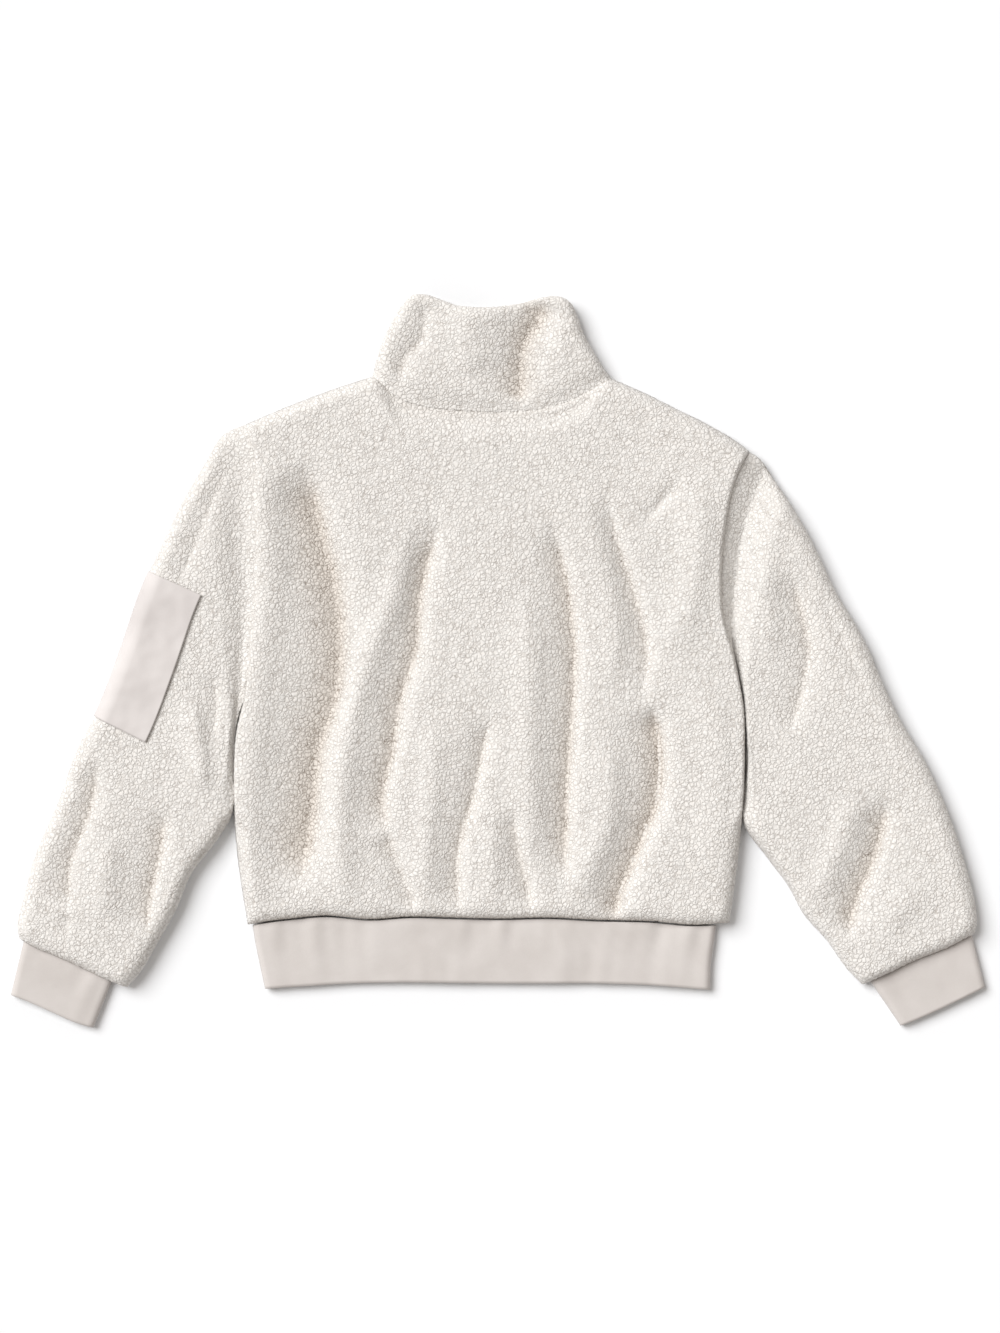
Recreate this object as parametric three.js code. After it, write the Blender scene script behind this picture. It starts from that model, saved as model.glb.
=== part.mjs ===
// A sherpa fleece pullover laid flat on a table with its back up.
// Millimetres, +Z up, +Y towards the collar, +X to the right of someone looking down at it. The outlines are
// stated from the middle of the hem seam, and the last lines move the whole to its own footing.
import * as THREE from 'three';

// ---- Driving dimensions ----
const FLEECE = 5; // wall of the sherpa cloth, its pile included
const KNIT = 2.8; // wall of the doubled jersey of the hem band and the cuffs
const WOVEN = 1.2; // wall of the sleeve patch
const GAP = 0.3; // space left at a seam
const PATCH_GAP = 0.6; // space between the patch and the sleeve under it
const BODY_WIDTH = 505; // mean width of the laid body
const BODY_LENGTH = 500; // mean height of a body panel, hem to shoulder
const ARMHOLE = 268; // mean length of an armhole as it lies
const SLEEVE_LENGTH = 450; // mean length of a sleeve, armhole seam to cuff seam
const COLLAR_HEIGHT = 105; // mean height of the collar above its seam
const NECK = 255; // length of the neck seam on one panel
const UNDERARM = 0.45; // where the armhole starts, as a fraction of the side edge
const NECK_POINT = 0.25; // where the neck starts, as a fraction of the panel's width

// Heights of the top layer above the table, and how far in from an edge it takes to rise to them
const CROWN = { body: 24, sleeve: 26, collar: 23, band: 12, cuff: 11.5 };
const DIP = { hem: 14.5, armhole: 18, neck: 17, cuff: 17 };
const REACH = { hem: 20, armhole: 40, neck: 24, cuff: 26 };
const SEAM_TURN = 2; // how far the cloth has already turned up from a dip where its seam ends

// A side fold: its height above the table, and the reach of the rounding over and under it
const FLEECE_RIM = { fold: 9, over: 16, under: 9 };
const KNIT_RIM = { fold: 5.6, over: 7, under: 5.6 };
const RIM_STOPS = [0, 3, 9, 18]; // distances from a side fold at which sections are cut

// ---- Outlines, each row an x and a y ----
const SIDE_LEFT = [
  [-243, -3], [-253, 57], [-256, 120], [-254, 182], [-245, 225], [-236, 290], [-233, 360], [-232, 420],
  [-237, 465], [-245, 498],
];
const SIDE_RIGHT = [
  [240, -1], [249, 60], [255, 140], [255, 199], [249, 240], [236, 290], [231, 345], [234, 400], [244, 440],
  [260, 471],
];
const HEM = [[-243, -3], [-120, 3], [0, 2], [120, 0], [240, -1]];
const SHOULDER_LEFT = [[-245, 498], [-190, 522], [-118, 546]];
const SHOULDER_RIGHT = [[122, 544], [192, 512], [260, 471]];
const NECK_BACK = [[-118, 546], [-92, 525], [-45, 513], [0, 511], [45, 512.5], [92, 526.5], [122, 544]];
const NECK_FRONT = [[-118, 546], [-85, 505], [-45, 484], [0, 478], [45, 484], [88, 506], [122, 544]];
const COLLAR_LEFT = [[-118, 546], [-110, 576], [-99, 600], [-84, 622]];
const COLLAR_RIGHT = [[122, 544], [104, 568], [94, 590], [83, 616]];
const COLLAR_TOP = [[-84, 622], [-68, 628], [-36, 617], [0, 615], [36, 620], [62, 626], [83, 616]];
const BAND_LEFT = [[-238, -3.5], [-233, -38], [-226, -68]];
const BAND_RIGHT = [[227, -1.8], [223, -38], [221, -69]];
const BAND_BOTTOM = [[-226, -68], [-140, -63], [0, -62.5], [110, -63], [221, -69]];
const SLEEVES = {
  left: {
    outward: -1,
    outer: [
      [-245, 498], [-270, 485], [-300, 435], [-325, 385], [-350, 330], [-370, 272], [-393, 212], [-430, 127],
      [-458, 60], [-470, 15], [-474, -14],
    ],
    inner: [
      [-245, 225], [-256, 205], [-260, 165], [-261, 118], [-278, 82], [-300, 47], [-318, 7], [-338, -31],
      [-364, -66],
    ],
    cuff: { from: 0.05, to: 0.86, corners: [[-481, -74], [-442, -91], [-398, -107]] },
  },
  right: {
    outward: 1,
    outer: [
      [260, 471], [285, 442], [317, 392], [347, 330], [380, 272], [413, 199], [437, 159], [457, 115], [477, 55],
      [488, 15], [488, -10],
    ],
    inner: [
      [255, 213], [259, 190], [262, 150], [263, 104], [283, 65], [310, 15], [337, -18], [357, -48], [373, -63],
    ],
    cuff: { from: 0.02, to: 0.93, corners: [[497, -66], [456, -87], [412, -105]] },
  },
};
// The patch wraps the outer fold of the left sleeve: its ends along that fold, and the distances from the fold,
// over and under, at which its section is cut
const PATCH = { from: 0.315, to: 0.585, rows: 6, stops: [58, 38, 18, 9, 3] };

// ---- Folds: the middle line's three points, half width, height (a trough is negative), length of its fading ends ----
const FOLD_COLUMNS = ['x0', 'y0', 'x1', 'y1', 'x2', 'y2', 'width', 'height', 'fade'];
const BACK_FOLDS = [
  [-226, 455, -238, 250, -240, 15, 24, 5, 40], // ridge down the left side
  [-205, 460, -176, 300, -206, 60, 34, -8, 60], // broad valley beside it
  [-86, 362, -135, 202, -146, 20, 26, 6, 60],
  [-56, 382, -88, 202, -128, 90, 22, -5, 50],
  [-40, 190, -56, 110, -60, 20, 24, 4, 40],
  [-15, 160, -24, 90, -34, 15, 18, -4, 40],
  [48, 322, 46, 190, 50, 60, 26, 4, 60],
  [80, 290, 76, 170, 70, 50, 20, -5, 60],
  [110, 402, 134, 300, 130, 200, 22, 4, 50],
  [128, 192, 128, 100, 92, 20, 22, 5, 40],
  [162, 205, 174, 140, 135, 20, 20, -6, 40],
  [210, 445, 195, 340, 225, 170, 26, 6, 60], // ridge down the right side
];
const SLEEVE_FOLDS = [
  [-300, 207, -286, 160, -285, 120, 18, 4, 30],
  [-398, 150, -408, 100, -428, 50, 18, -5, 30],
  [-350, 60, -350, 30, -350, 0, 16, -4, 20],
  [-385, 70, -388, 40, -390, 10, 16, 4, 20],
  [275, 370, 276, 310, 275, 265, 20, 4, 30],
  [309, 325, 315, 270, 297, 180, 18, -5, 40],
  [370, 125, 345, 70, 323, 30, 20, 4, 30],
  [385, 115, 370, 50, 352, -20, 16, -5, 30],
];
const COLLAR_FOLDS = [
  [36, 612, 26, 570, 20, 525, 24, -6, 20],
  [-30, 590, -32, 570, -34, 545, 20, 3, 20],
  [-72, 604, -90, 570, -98, 546, 12, -4, 16],
];

const FABRICS = {
  sherpa: { color: '#e7e3de', roughness: 0.95, metalness: 0 },
  jersey: { color: '#ddd5cf', roughness: 0.85, metalness: 0 },
  woven: { color: '#e5dedb', roughness: 0.7, metalness: 0 },
};

// ---- Curves and surfaces ----
function curve(rows) {
  const path = new THREE.CatmullRomCurve3(rows.map(([x, y]) => new THREE.Vector3(x, y, 0)), false, 'centripetal');
  return (t) => path.getPointAt(THREE.MathUtils.clamp(t, 0, 1));
}

const stretch = (path, from, to, x = 0, y = 0) => (t) =>
  path(THREE.MathUtils.lerp(from, to, t)).add(new THREE.Vector3(x, y, 0));

// The surface between four edges: near and far run along u, left and right along v
function patchOf(near, far, left, right) {
  const corners = [near(0), near(1), far(0), far(1)];
  return (u, v) =>
    new THREE.Vector3()
      .addScaledVector(near(u), 1 - v)
      .addScaledVector(far(u), v)
      .addScaledVector(left(v), 1 - u)
      .addScaledVector(right(v), u)
      .addScaledVector(corners[0], -(1 - u) * (1 - v))
      .addScaledVector(corners[1], -u * (1 - v))
      .addScaledVector(corners[2], -(1 - u) * v)
      .addScaledVector(corners[3], -u * v);
}

// How far a rounded edge has turned at a distance from it: rise goes 0 to 1, lean goes 1 to 0
const lean = (distance, reach) => 1 - THREE.MathUtils.clamp(distance / reach, 0, 1);
const rise = (distance, reach) => Math.sqrt(1 - lean(distance, reach) ** 2);

// Fractions at which a strip is cut: close together beside its two folds, evenly in between
function stops(length, between) {
  const rim = RIM_STOPS.map((distance) => ({ at: distance / length, rim: distance }));
  const first = RIM_STOPS.at(-1) / length;
  const even = Array.from({ length: between }, (_, i) => ({
    at: THREE.MathUtils.lerp(first, 1 - first, (i + 1) / (between + 1)),
    rim: Infinity,
  }));
  const mirrored = rim.map(({ at, rim: distance }) => ({ at: 1 - at, rim: distance })).reverse();
  return [...rim, ...even, ...mirrored];
}

function readFolds(table) {
  return table.map((row) => {
    const fold = Object.fromEntries(FOLD_COLUMNS.map((column, i) => [column, row[i]]));
    const path = new THREE.CatmullRomCurve3(
      [[fold.x0, fold.y0], [fold.x1, fold.y1], [fold.x2, fold.y2]].map(([x, y]) => new THREE.Vector3(x, y, 0)),
    );
    return { ...fold, points: path.getSpacedPoints(24), length: path.getLength() };
  });
}

function foldHeight(folds, point) {
  return folds.reduce((sum, { points, length, width, height, fade }) => {
    let nearest = Infinity;
    let along = 0;
    points.forEach((knot, i) => {
      const distance = Math.hypot(knot.x - point.x, knot.y - point.y);
      if (distance < nearest) {
        nearest = distance;
        along = (i / (points.length - 1)) * length;
      }
    });
    const side = Math.max(0, 1 - (nearest / width) ** 2) ** 2;
    return sum + height * side * rise(Math.min(along, length - along) + fade / 4, fade);
  }, 0);
}

// ---- Solids ----
// A wall of cloth from rows of sections, each section a list of outer and inner points
function wall(name, rows, fabric, closedRound = false) {
  const columns = rows[0].length;
  const cells = rows.flat();
  const positions = [...cells.map(({ outer }) => outer), ...cells.map(({ inner }) => inner)];
  const outside = (row, column) => row * columns + (column % columns);
  const inside = (row, column) => cells.length + outside(row, column);
  const index = [];
  const quad = (a, b, c, d) => index.push(a, b, c, a, c, d);
  const last = rows.length - 1;
  const spans = closedRound ? columns : columns - 1;
  for (let row = 0; row < last; row += 1) {
    for (let column = 0; column < spans; column += 1) {
      const next = column + 1;
      quad(outside(row, column), outside(row, next), outside(row + 1, next), outside(row + 1, column));
      quad(inside(row, column), inside(row + 1, column), inside(row + 1, next), inside(row, next));
    }
  }
  for (let column = 0; column < spans; column += 1) {
    const next = column + 1;
    quad(outside(0, next), outside(0, column), inside(0, column), inside(0, next));
    quad(outside(last, column), outside(last, next), inside(last, next), inside(last, column));
  }
  for (let row = 0; row < last && !closedRound; row += 1) {
    quad(outside(row, 0), outside(row + 1, 0), inside(row + 1, 0), inside(row, 0));
    quad(outside(row + 1, spans), outside(row, spans), inside(row, spans), inside(row + 1, spans));
  }
  const volume = index.reduce(
    (sum, _, i) =>
      i % 3 ? sum : sum + positions[index[i]].dot(positions[index[i + 1]].clone().cross(positions[index[i + 2]])),
    0,
  );
  const geometry = new THREE.BufferGeometry().setFromPoints(positions);
  geometry.setIndex(volume < 0 ? index.reverse() : index);
  geometry.computeVertexNormals();
  const mesh = new THREE.Mesh(geometry, new THREE.MeshStandardMaterial(FABRICS[fabric]));
  mesh.name = name;
  return mesh;
}

// Both faces of one layer at a point: `round` says how much of its full height the layer has there
function facesOf(plan, at, inset, thickness, { fold, crown, round, under }) {
  const outer = plan(at.u, at.v);
  const inner = plan(at.u + inset.u, at.v + inset.v);
  const bottom = crown ?? under;
  const inward = crown === undefined ? thickness : -thickness;
  outer.z = fold + (bottom - fold) * round;
  inner.z = fold + (bottom + inward - fold) * round;
  return { outer, inner };
}

// ---- Body ----
const sideLeft = curve(SIDE_LEFT);
const sideRight = curve(SIDE_RIGHT);
const hem = curve(HEM);
const shoulders = [curve(SHOULDER_LEFT), curve(SHOULDER_RIGHT)];
const armStops = stops(ARMHOLE, 5);
const neckStops = stops(NECK, 7);
const backFolds = readFolds(BACK_FOLDS);

function topEdge(neckRows) {
  const neck = curve(neckRows);
  return (u) => {
    if (u < NECK_POINT) return shoulders[0](u / NECK_POINT);
    if (u > 1 - NECK_POINT) return shoulders[1]((u - 1 + NECK_POINT) / NECK_POINT);
    return neck((u - NECK_POINT) / (1 - 2 * NECK_POINT));
  };
}

function panelColumns(between) {
  const shoulder = [
    ...RIM_STOPS.map((distance) => distance / BODY_WIDTH),
    ...Array.from({ length: between }, (_, i) =>
      THREE.MathUtils.lerp(RIM_STOPS.at(-1) / BODY_WIDTH, NECK_POINT, (i + 1) / (between + 1)),
    ),
  ];
  const neck = neckStops.map(({ at }) => NECK_POINT + at * (1 - 2 * NECK_POINT));
  return [...shoulder, ...neck, ...shoulder.map((u) => 1 - u).reverse()];
}

function panelRows(below) {
  const lower = [0, 8, 20].map((distance) => distance / BODY_LENGTH);
  const first = lower.at(-1);
  const middle = Array.from({ length: below }, (_, i) => THREE.MathUtils.lerp(first, UNDERARM, (i + 1) / (below + 1)));
  return [...lower, ...middle, ...armStops.map(({ at }) => 1 - at * (1 - UNDERARM)).reverse()];
}

// How tightly a side or a shoulder is closed at a place along it: 1 in a fold, 0 in an open mouth
const sideClosed = (v, reach) => 1 - rise((v - UNDERARM) * BODY_LENGTH, reach);
const topClosed = (u, reach) => {
  const intoNeck = (Math.min(u, 1 - u) - NECK_POINT) * BODY_WIDTH;
  return intoNeck > 0 ? 1 - rise(intoNeck, reach) : 1;
};

function panelRounding(u, v, reach) {
  const side = sideClosed(v, reach);
  const top = topClosed(u, reach);
  const left = u * BODY_WIDTH;
  const right = (1 - u) * BODY_WIDTH;
  const down = (1 - v) * BODY_LENGTH;
  const round = (closed, distance) => THREE.MathUtils.lerp(1, rise(distance, reach), closed);
  return {
    round: round(side, left) * round(side, right) * round(top, down),
    inset: {
      u: (FLEECE * side * (lean(left, reach) - lean(right, reach))) / BODY_WIDTH,
      v: (-FLEECE * top * lean(down, reach)) / BODY_LENGTH,
    },
  };
}

// The back's height before its side folds: it dips at the hem, the armholes and the neck
function backCrown(u, v, point) {
  const full = CROWN.body + foldHeight(backFolds, point);
  const armhole = Math.min(u, 1 - u) * BODY_WIDTH + sideClosed(v, REACH.armhole) * REACH.armhole;
  const neck = (1 - v) * BODY_LENGTH + topClosed(u, REACH.neck) * REACH.neck;
  const dipped = [
    [DIP.hem, rise(v * BODY_LENGTH + SEAM_TURN, REACH.hem)],
    [DIP.armhole, rise(armhole + SEAM_TURN, REACH.armhole)],
    [DIP.neck, rise(neck + SEAM_TURN, REACH.neck)],
  ];
  return dipped.reduce((height, [low, share]) => low + (height - low) * share, full);
}

function makeBack() {
  const plan = patchOf(hem, topEdge(NECK_BACK), sideLeft, sideRight);
  const fold = FLEECE_RIM.fold + GAP;
  const columns = panelColumns(4);
  const rows = panelRows(6).map((v) =>
    columns.map((u) => {
      const { round, inset } = panelRounding(u, v, FLEECE_RIM.over);
      const crown = backCrown(u, v, plan(u, v));
      return facesOf(plan, { u, v }, inset, FLEECE, { fold, crown, round });
    }),
  );
  return wall('back', rows, 'sherpa');
}

function makeFront() {
  const plan = patchOf(hem, topEdge(NECK_FRONT), sideLeft, sideRight);
  const { fold, under } = FLEECE_RIM;
  const columns = panelColumns(1);
  const rows = panelRows(2).map((v) =>
    columns.map((u) => {
      const { round, inset } = panelRounding(u, v, under);
      return facesOf(plan, { u, v }, inset, FLEECE, { fold, under: 0, round });
    }),
  );
  return wall('front', rows, 'sherpa');
}

// ---- Flattened tubes: sleeves, collar, band and cuffs ----
// Each section runs across the top layer and back across the bottom one.
function flatTube(name, { over, under = over, sections, rim, thickness, crown, lift = () => 0 }, fabric) {
  const rows = sections.map(({ at: v, across, nominal }) => {
    const length = nominal ?? over(0, v).distanceTo(over(1, v));
    const layer = (plan, shape) =>
      across.map(({ at: u, rim: distance }) => {
        const reach = shape.reach;
        const turn = (thickness * lean(distance, reach)) / length;
        const inset = { u: u < 0.5 ? turn : -turn, v: 0 };
        const heights = { fold: rim.fold, round: rise(distance, reach), ...shape.heights(u, v, plan(u, v)) };
        return facesOf(plan, { u, v }, inset, thickness, heights);
      });
    const top = layer(over, { reach: rim.over, heights: (u, _, point) => ({ crown: crown(u, v, point) }) });
    const bottom = layer(under, { reach: rim.under, heights: () => ({ under: lift(v) }) });
    return [...top, ...bottom.slice(1, -1).reverse()];
  });
  return wall(name, rows, fabric, true);
}

const sleeveFolds = readFolds(SLEEVE_FOLDS);
const SLEEVE_STATIONS = [0, 0.02, 0.05, 0.1, 0.17, 0.26, 0.36, 0.46, 0.56, 0.66, 0.76, 0.85, 0.93, 0.98, 1];

function sleevePlan({ outward, outer, inner }) {
  const side = outward < 0 ? sideLeft : sideRight;
  const mouth = stretch(side, 1, UNDERARM, outward * GAP);
  const outerEdge = curve([mouth(0).toArray(), ...outer.slice(1)]);
  const innerEdge = curve([mouth(1).toArray(), ...inner.slice(1)]);
  const wrist = curve([outer.at(-1), inner.at(-1)]);
  return { plan: patchOf(mouth, wrist, outerEdge, innerEdge), outerEdge, wrist };
}

// Sections across a sleeve: as the armhole's at its mouth, then by the distance square to the outer fold
function sleeveSections({ plan, outerEdge }) {
  return SLEEVE_STATIONS.map((v) => {
    const line = plan(1, v).sub(plan(0, v));
    const tangent = outerEdge(Math.min(v + 0.01, 1)).sub(outerEdge(Math.max(v - 0.01, 0)));
    const squareness = Math.sin(line.angleTo(tangent));
    const local = stops(line.length() * squareness, 5);
    const share = THREE.MathUtils.smoothstep(v, 0, 0.17);
    const across = armStops.map(({ at, rim }, i) => ({ at: THREE.MathUtils.lerp(at, local[i].at, share), rim }));
    return { at: v, across };
  });
}

function sleeveCrown(v, point) {
  const full = CROWN.sleeve + foldHeight(sleeveFolds, point);
  const fromArmhole = rise(v * SLEEVE_LENGTH + SEAM_TURN, REACH.armhole);
  const fromCuff = rise((1 - v) * SLEEVE_LENGTH + SEAM_TURN, REACH.cuff);
  const raised = DIP.armhole + (full - DIP.armhole) * fromArmhole;
  return DIP.cuff + (raised - DIP.cuff) * fromCuff;
}

const PATCH_LIFT = WOVEN + PATCH_GAP;

function makeSleeve(name, sleeve, lifted) {
  const shape = sleevePlan(sleeve);
  const lift = (v) =>
    lifted ? PATCH_LIFT * THREE.MathUtils.smoothstep(v, 0, 0.1) * (1 - THREE.MathUtils.smoothstep(v, 0.73, 0.94)) : 0;
  return flatTube(
    name,
    {
      over: shape.plan,
      sections: sleeveSections(shape),
      rim: FLEECE_RIM,
      thickness: FLEECE,
      crown: (_, v, point) => sleeveCrown(v, point),
      lift,
    },
    'sherpa',
  );
}

function makeCuff(name, sleeve) {
  const { wrist } = sleevePlan(sleeve);
  const { from, to, corners } = sleeve.cuff;
  const away = wrist(1).sub(wrist(0)).normalize().cross(new THREE.Vector3(0, 0, -sleeve.outward)).multiplyScalar(GAP);
  const top = stretch(wrist, from, to, away.x, away.y);
  const bottom = curve(corners);
  const outer = curve([top(0).toArray(), corners.at(0)]);
  const inner = curve([top(1).toArray(), corners.at(-1)]);
  const length = top(0).distanceTo(top(1));
  const crown = (u, v) => CROWN.cuff + 0.6 * Math.sin(u * 9 + v * 2);
  const sections = [0, 0.3, 0.7, 1].map((at) => ({ at, across: stops(length, 3) }));
  return flatTube(
    name,
    { over: patchOf(top, bottom, outer, inner), sections, rim: KNIT_RIM, thickness: KNIT, crown },
    'jersey',
  );
}

function makeBand() {
  const seam = stretch(hem, 0.01, 0.973, 0, -GAP);
  const left = curve([seam(0).toArray(), ...BAND_LEFT.slice(1)]);
  const right = curve([seam(1).toArray(), ...BAND_RIGHT.slice(1)]);
  const plan = patchOf(seam, curve(BAND_BOTTOM), left, right);
  const crown = (u, v) => CROWN.band + 0.8 * Math.sin(u * 21 + v * 1.5);
  const across = stops(seam(0).distanceTo(seam(1)), 14);
  const sections = [0, 0.3, 0.7, 1].map((at) => ({ at, across }));
  return flatTube('hem_band', { over: plan, sections, rim: KNIT_RIM, thickness: KNIT, crown }, 'jersey');
}

function makeCollar() {
  const folds = readFolds(COLLAR_FOLDS);
  const layer = (neckRows) => {
    const seam = stretch(curve(neckRows), 0, 1, 0, GAP);
    const left = curve([seam(0).toArray(), ...COLLAR_LEFT.slice(1)]);
    const right = curve([seam(1).toArray(), ...COLLAR_RIGHT.slice(1)]);
    return patchOf(seam, curve(COLLAR_TOP), left, right);
  };
  const crown = (_, v, point) => {
    const full = CROWN.collar + foldHeight(folds, point);
    const raised = DIP.neck + (full - DIP.neck) * rise(v * COLLAR_HEIGHT + SEAM_TURN, REACH.neck);
    return raised - 3 * (1 - rise((1 - v) * COLLAR_HEIGHT, REACH.neck));
  };
  const sections = [0, 0.1, 0.3, 0.55, 0.8, 0.93, 1].map((at) => ({ at, across: neckStops, nominal: NECK }));
  return flatTube(
    'collar',
    { over: layer(NECK_BACK), under: layer(NECK_FRONT), sections, rim: FLEECE_RIM, thickness: FLEECE, crown },
    'sherpa',
  );
}

// ---- Patch ----
// It follows the section of the sleeve's outer fold, moved out, from the top layer round to the bottom one.
function makePatch(sleeve) {
  const { outerEdge } = sleevePlan(sleeve);
  const { fold, over, under } = FLEECE_RIM;
  const topHeight = (distance) => fold + (CROWN.sleeve - fold) * rise(distance, over);
  const bottomHeight = (distance) => fold + (PATCH_LIFT - fold) * rise(distance, under);
  const section = [
    ...PATCH.stops.map((distance) => new THREE.Vector2(distance, topHeight(distance))),
    new THREE.Vector2(0, fold),
    ...PATCH.stops.map((distance) => new THREE.Vector2(distance, bottomHeight(distance))).reverse(),
  ];
  const outwards = section.map((point, i) => {
    const before = section[Math.max(i - 1, 0)];
    const after = section[Math.min(i + 1, section.length - 1)];
    const along = after.clone().sub(before).normalize();
    return new THREE.Vector2(along.y, -along.x);
  });
  const rows = Array.from({ length: PATCH.rows }, (_, row) => {
    const t = THREE.MathUtils.lerp(PATCH.from, PATCH.to, row / (PATCH.rows - 1));
    const base = outerEdge(t);
    const tangent = outerEdge(t + 0.01).sub(outerEdge(t - 0.01)).normalize();
    const inwards = new THREE.Vector3(-tangent.y, tangent.x, 0);
    const place = (point) => base.clone().addScaledVector(inwards, point.x).setZ(point.y);
    return section.map((point, i) => ({
      outer: place(point.clone().addScaledVector(outwards[i], PATCH_GAP + WOVEN)),
      inner: place(point.clone().addScaledVector(outwards[i], PATCH_GAP)),
    }));
  });
  return wall('sleeve_patch', rows, 'woven');
}

// ---- Assembly, with its footing at the origin ----
const pullover = new THREE.Group();
pullover.add(
  makeFront(),
  makeBack(),
  makeSleeve('sleeve_left', SLEEVES.left, true),
  makeSleeve('sleeve_right', SLEEVES.right, false),
  makeCollar(),
  makeBand(),
  makeCuff('cuff_left', SLEEVES.left),
  makeCuff('cuff_right', SLEEVES.right),
  makePatch(SLEEVES.left),
);
const bounds = new THREE.Box3().setFromObject(pullover);
const middle = bounds.getCenter(new THREE.Vector3());
pullover.position.set(-middle.x, -middle.y, -bounds.min.z);

export default pullover;
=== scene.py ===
"""A sherpa fleece pullover lying flat on a pale table with its back up, built on the fixed frame.

Each piece of cloth is a closed thin shell on the form of its solid: a fine outer face that carries the folds
and the curled pile, and a plainer inner face. Sizes are in millimetres and are measured from the middle of
the hem seam, +X to the right of someone looking down at the back and +Y towards the collar.
"""

from __future__ import annotations

import logging
import math
from dataclasses import dataclass, field
from enum import Enum
from typing import Callable, Optional, Sequence, Union

import bpy
import numpy as np
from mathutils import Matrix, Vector

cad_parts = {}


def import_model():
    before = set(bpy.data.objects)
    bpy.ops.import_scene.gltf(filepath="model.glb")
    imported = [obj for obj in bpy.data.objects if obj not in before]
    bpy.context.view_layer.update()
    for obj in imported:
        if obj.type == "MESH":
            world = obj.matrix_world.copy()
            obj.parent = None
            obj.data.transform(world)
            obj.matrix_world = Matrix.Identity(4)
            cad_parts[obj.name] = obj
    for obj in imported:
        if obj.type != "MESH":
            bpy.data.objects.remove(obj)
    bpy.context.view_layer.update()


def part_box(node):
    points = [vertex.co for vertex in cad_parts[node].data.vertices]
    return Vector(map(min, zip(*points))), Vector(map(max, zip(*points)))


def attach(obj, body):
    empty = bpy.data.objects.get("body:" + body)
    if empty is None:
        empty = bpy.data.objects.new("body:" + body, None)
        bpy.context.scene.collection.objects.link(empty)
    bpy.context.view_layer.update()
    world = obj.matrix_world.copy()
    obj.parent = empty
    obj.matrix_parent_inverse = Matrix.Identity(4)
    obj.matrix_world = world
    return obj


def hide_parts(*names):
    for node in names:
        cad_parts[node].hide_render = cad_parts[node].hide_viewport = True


LOG = logging.getLogger("pullover")
MM = 0.001
Points = Sequence[tuple[float, float]]
Along = Callable[[np.ndarray], np.ndarray]
Value = Union["Socket", float, int, tuple, Vector]

# ---- Driving sizes, mm ----
BODY_WIDTH = 505.0
BODY_LENGTH = 500.0
NECK = 255.0
COLLAR_HEIGHT = 105.0
COLLAR_TOP_WIDTH = 175.0
SLEEVE_LENGTH = 420.0
SEAM_GAP = 0.3
SEAM_TUCK = 0.8
SEAM_ROLL = 13.0  # how far from a hem or cuff seam the fleece takes to rise
FLEECE_WALL = 3.8
KNIT_WALL = 2.6
WOVEN_WALL = 1.0
PATCH_LIFT = 1.8
TOUCH = 115.0  # how far below the underarm a sleeve lies pressed against the body
SIDE_LIFT = 7.5  # how much higher the folds of both lie there

# ---- Shares and counts ----
UNDERARM = 0.45  # the underarm's place up a side, as a share of it
NECK_POINT = 0.25  # each shoulder's share of a panel's top edge
STEEPER = 4.5  # how much more sharply the cloth turns down where a sleeve is pressed on
STRIDE = 6  # outer cells over one inner cell, each way
WAVE_TURN = 6.2832  # one whole turn of a wave, radians

SIDE_LEFT: Points = (
    (-243, -3), (-252, 57), (-256, 107), (-255, 182), (-246, 225), (-237, 290), (-233, 340), (-233, 400),
    (-233, 450), (-238, 478), (-245, 498),
)
SIDE_RIGHT: Points = (
    (240, -1), (247, 49), (252, 95), (255, 170), (254, 215), (245, 260), (233, 305), (231, 350), (235, 395),
    (243, 435), (252, 458), (260, 471),
)
HEM: Points = (
    (-243, -5), (-228, -2), (-195, 2), (-165, 4.5), (-120, 1), (-80, 3.5), (-40, 2.5), (10, 1.5), (60, 2.5),
    (110, 0), (160, -1), (200, -4.5), (240, -3),
)
SHOULDER_LEFT: Points = ((-245, 498), (-222, 508), (-190, 521), (-155, 534), (-118, 546))
SHOULDER_RIGHT: Points = ((122, 544), (160, 527), (192, 511), (222, 496), (247, 481), (260, 471))
NECK_BACK: Points = (
    (-118, 546), (-106, 536), (-92, 525), (-70, 517), (-40, 513), (0, 511), (40, 512), (70, 518), (95, 529),
    (122, 544),
)
NECK_FRONT: Points = ((-118, 546), (-85, 505), (-45, 484), (0, 478), (45, 484), (88, 506), (122, 544))
COLLAR_LEFT: Points = ((-118, 546), (-111, 573), (-100, 598), (-91, 614), (-84, 623))
COLLAR_RIGHT: Points = ((122, 544), (113, 556), (104, 571), (94, 589), (89, 603), (83, 617))
COLLAR_TOP: Points = (
    (-84, 623), (-74, 628), (-62, 627), (-48, 622), (-34, 617), (-18, 615), (2, 615), (20, 617), (38, 621),
    (52, 624.5), (66, 626), (76, 623), (83, 617),
)
BAND_LEFT: Points = ((-238, -4), (-236, -20), (-232, -40), (-226, -68))
BAND_RIGHT: Points = ((227, -2), (225, -20), (222, -42), (221, -69))
BAND_BOTTOM: Points = (
    (-226, -68), (-190, -65.5), (-140, -62.5), (-90, -61.5), (10, -62.5), (110, -62.5), (165, -64.5),
    (221, -69),
)


# ---- Small maths ----
def lean(distance: np.ndarray, reach: float) -> np.ndarray:
    """How far a rounded edge still leans: 1 at the edge, 0 from its reach inwards."""
    return 1.0 - np.clip(np.asarray(distance, float) / reach, 0.0, 1.0)


def rise(distance: np.ndarray, reach: float, power: float = 2.0) -> np.ndarray:
    """How far a rounded edge has risen: 0 at the edge, 1 from its reach inwards."""
    return np.maximum(0.0, 1.0 - lean(distance, reach) ** power) ** (1.0 / power)


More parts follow.
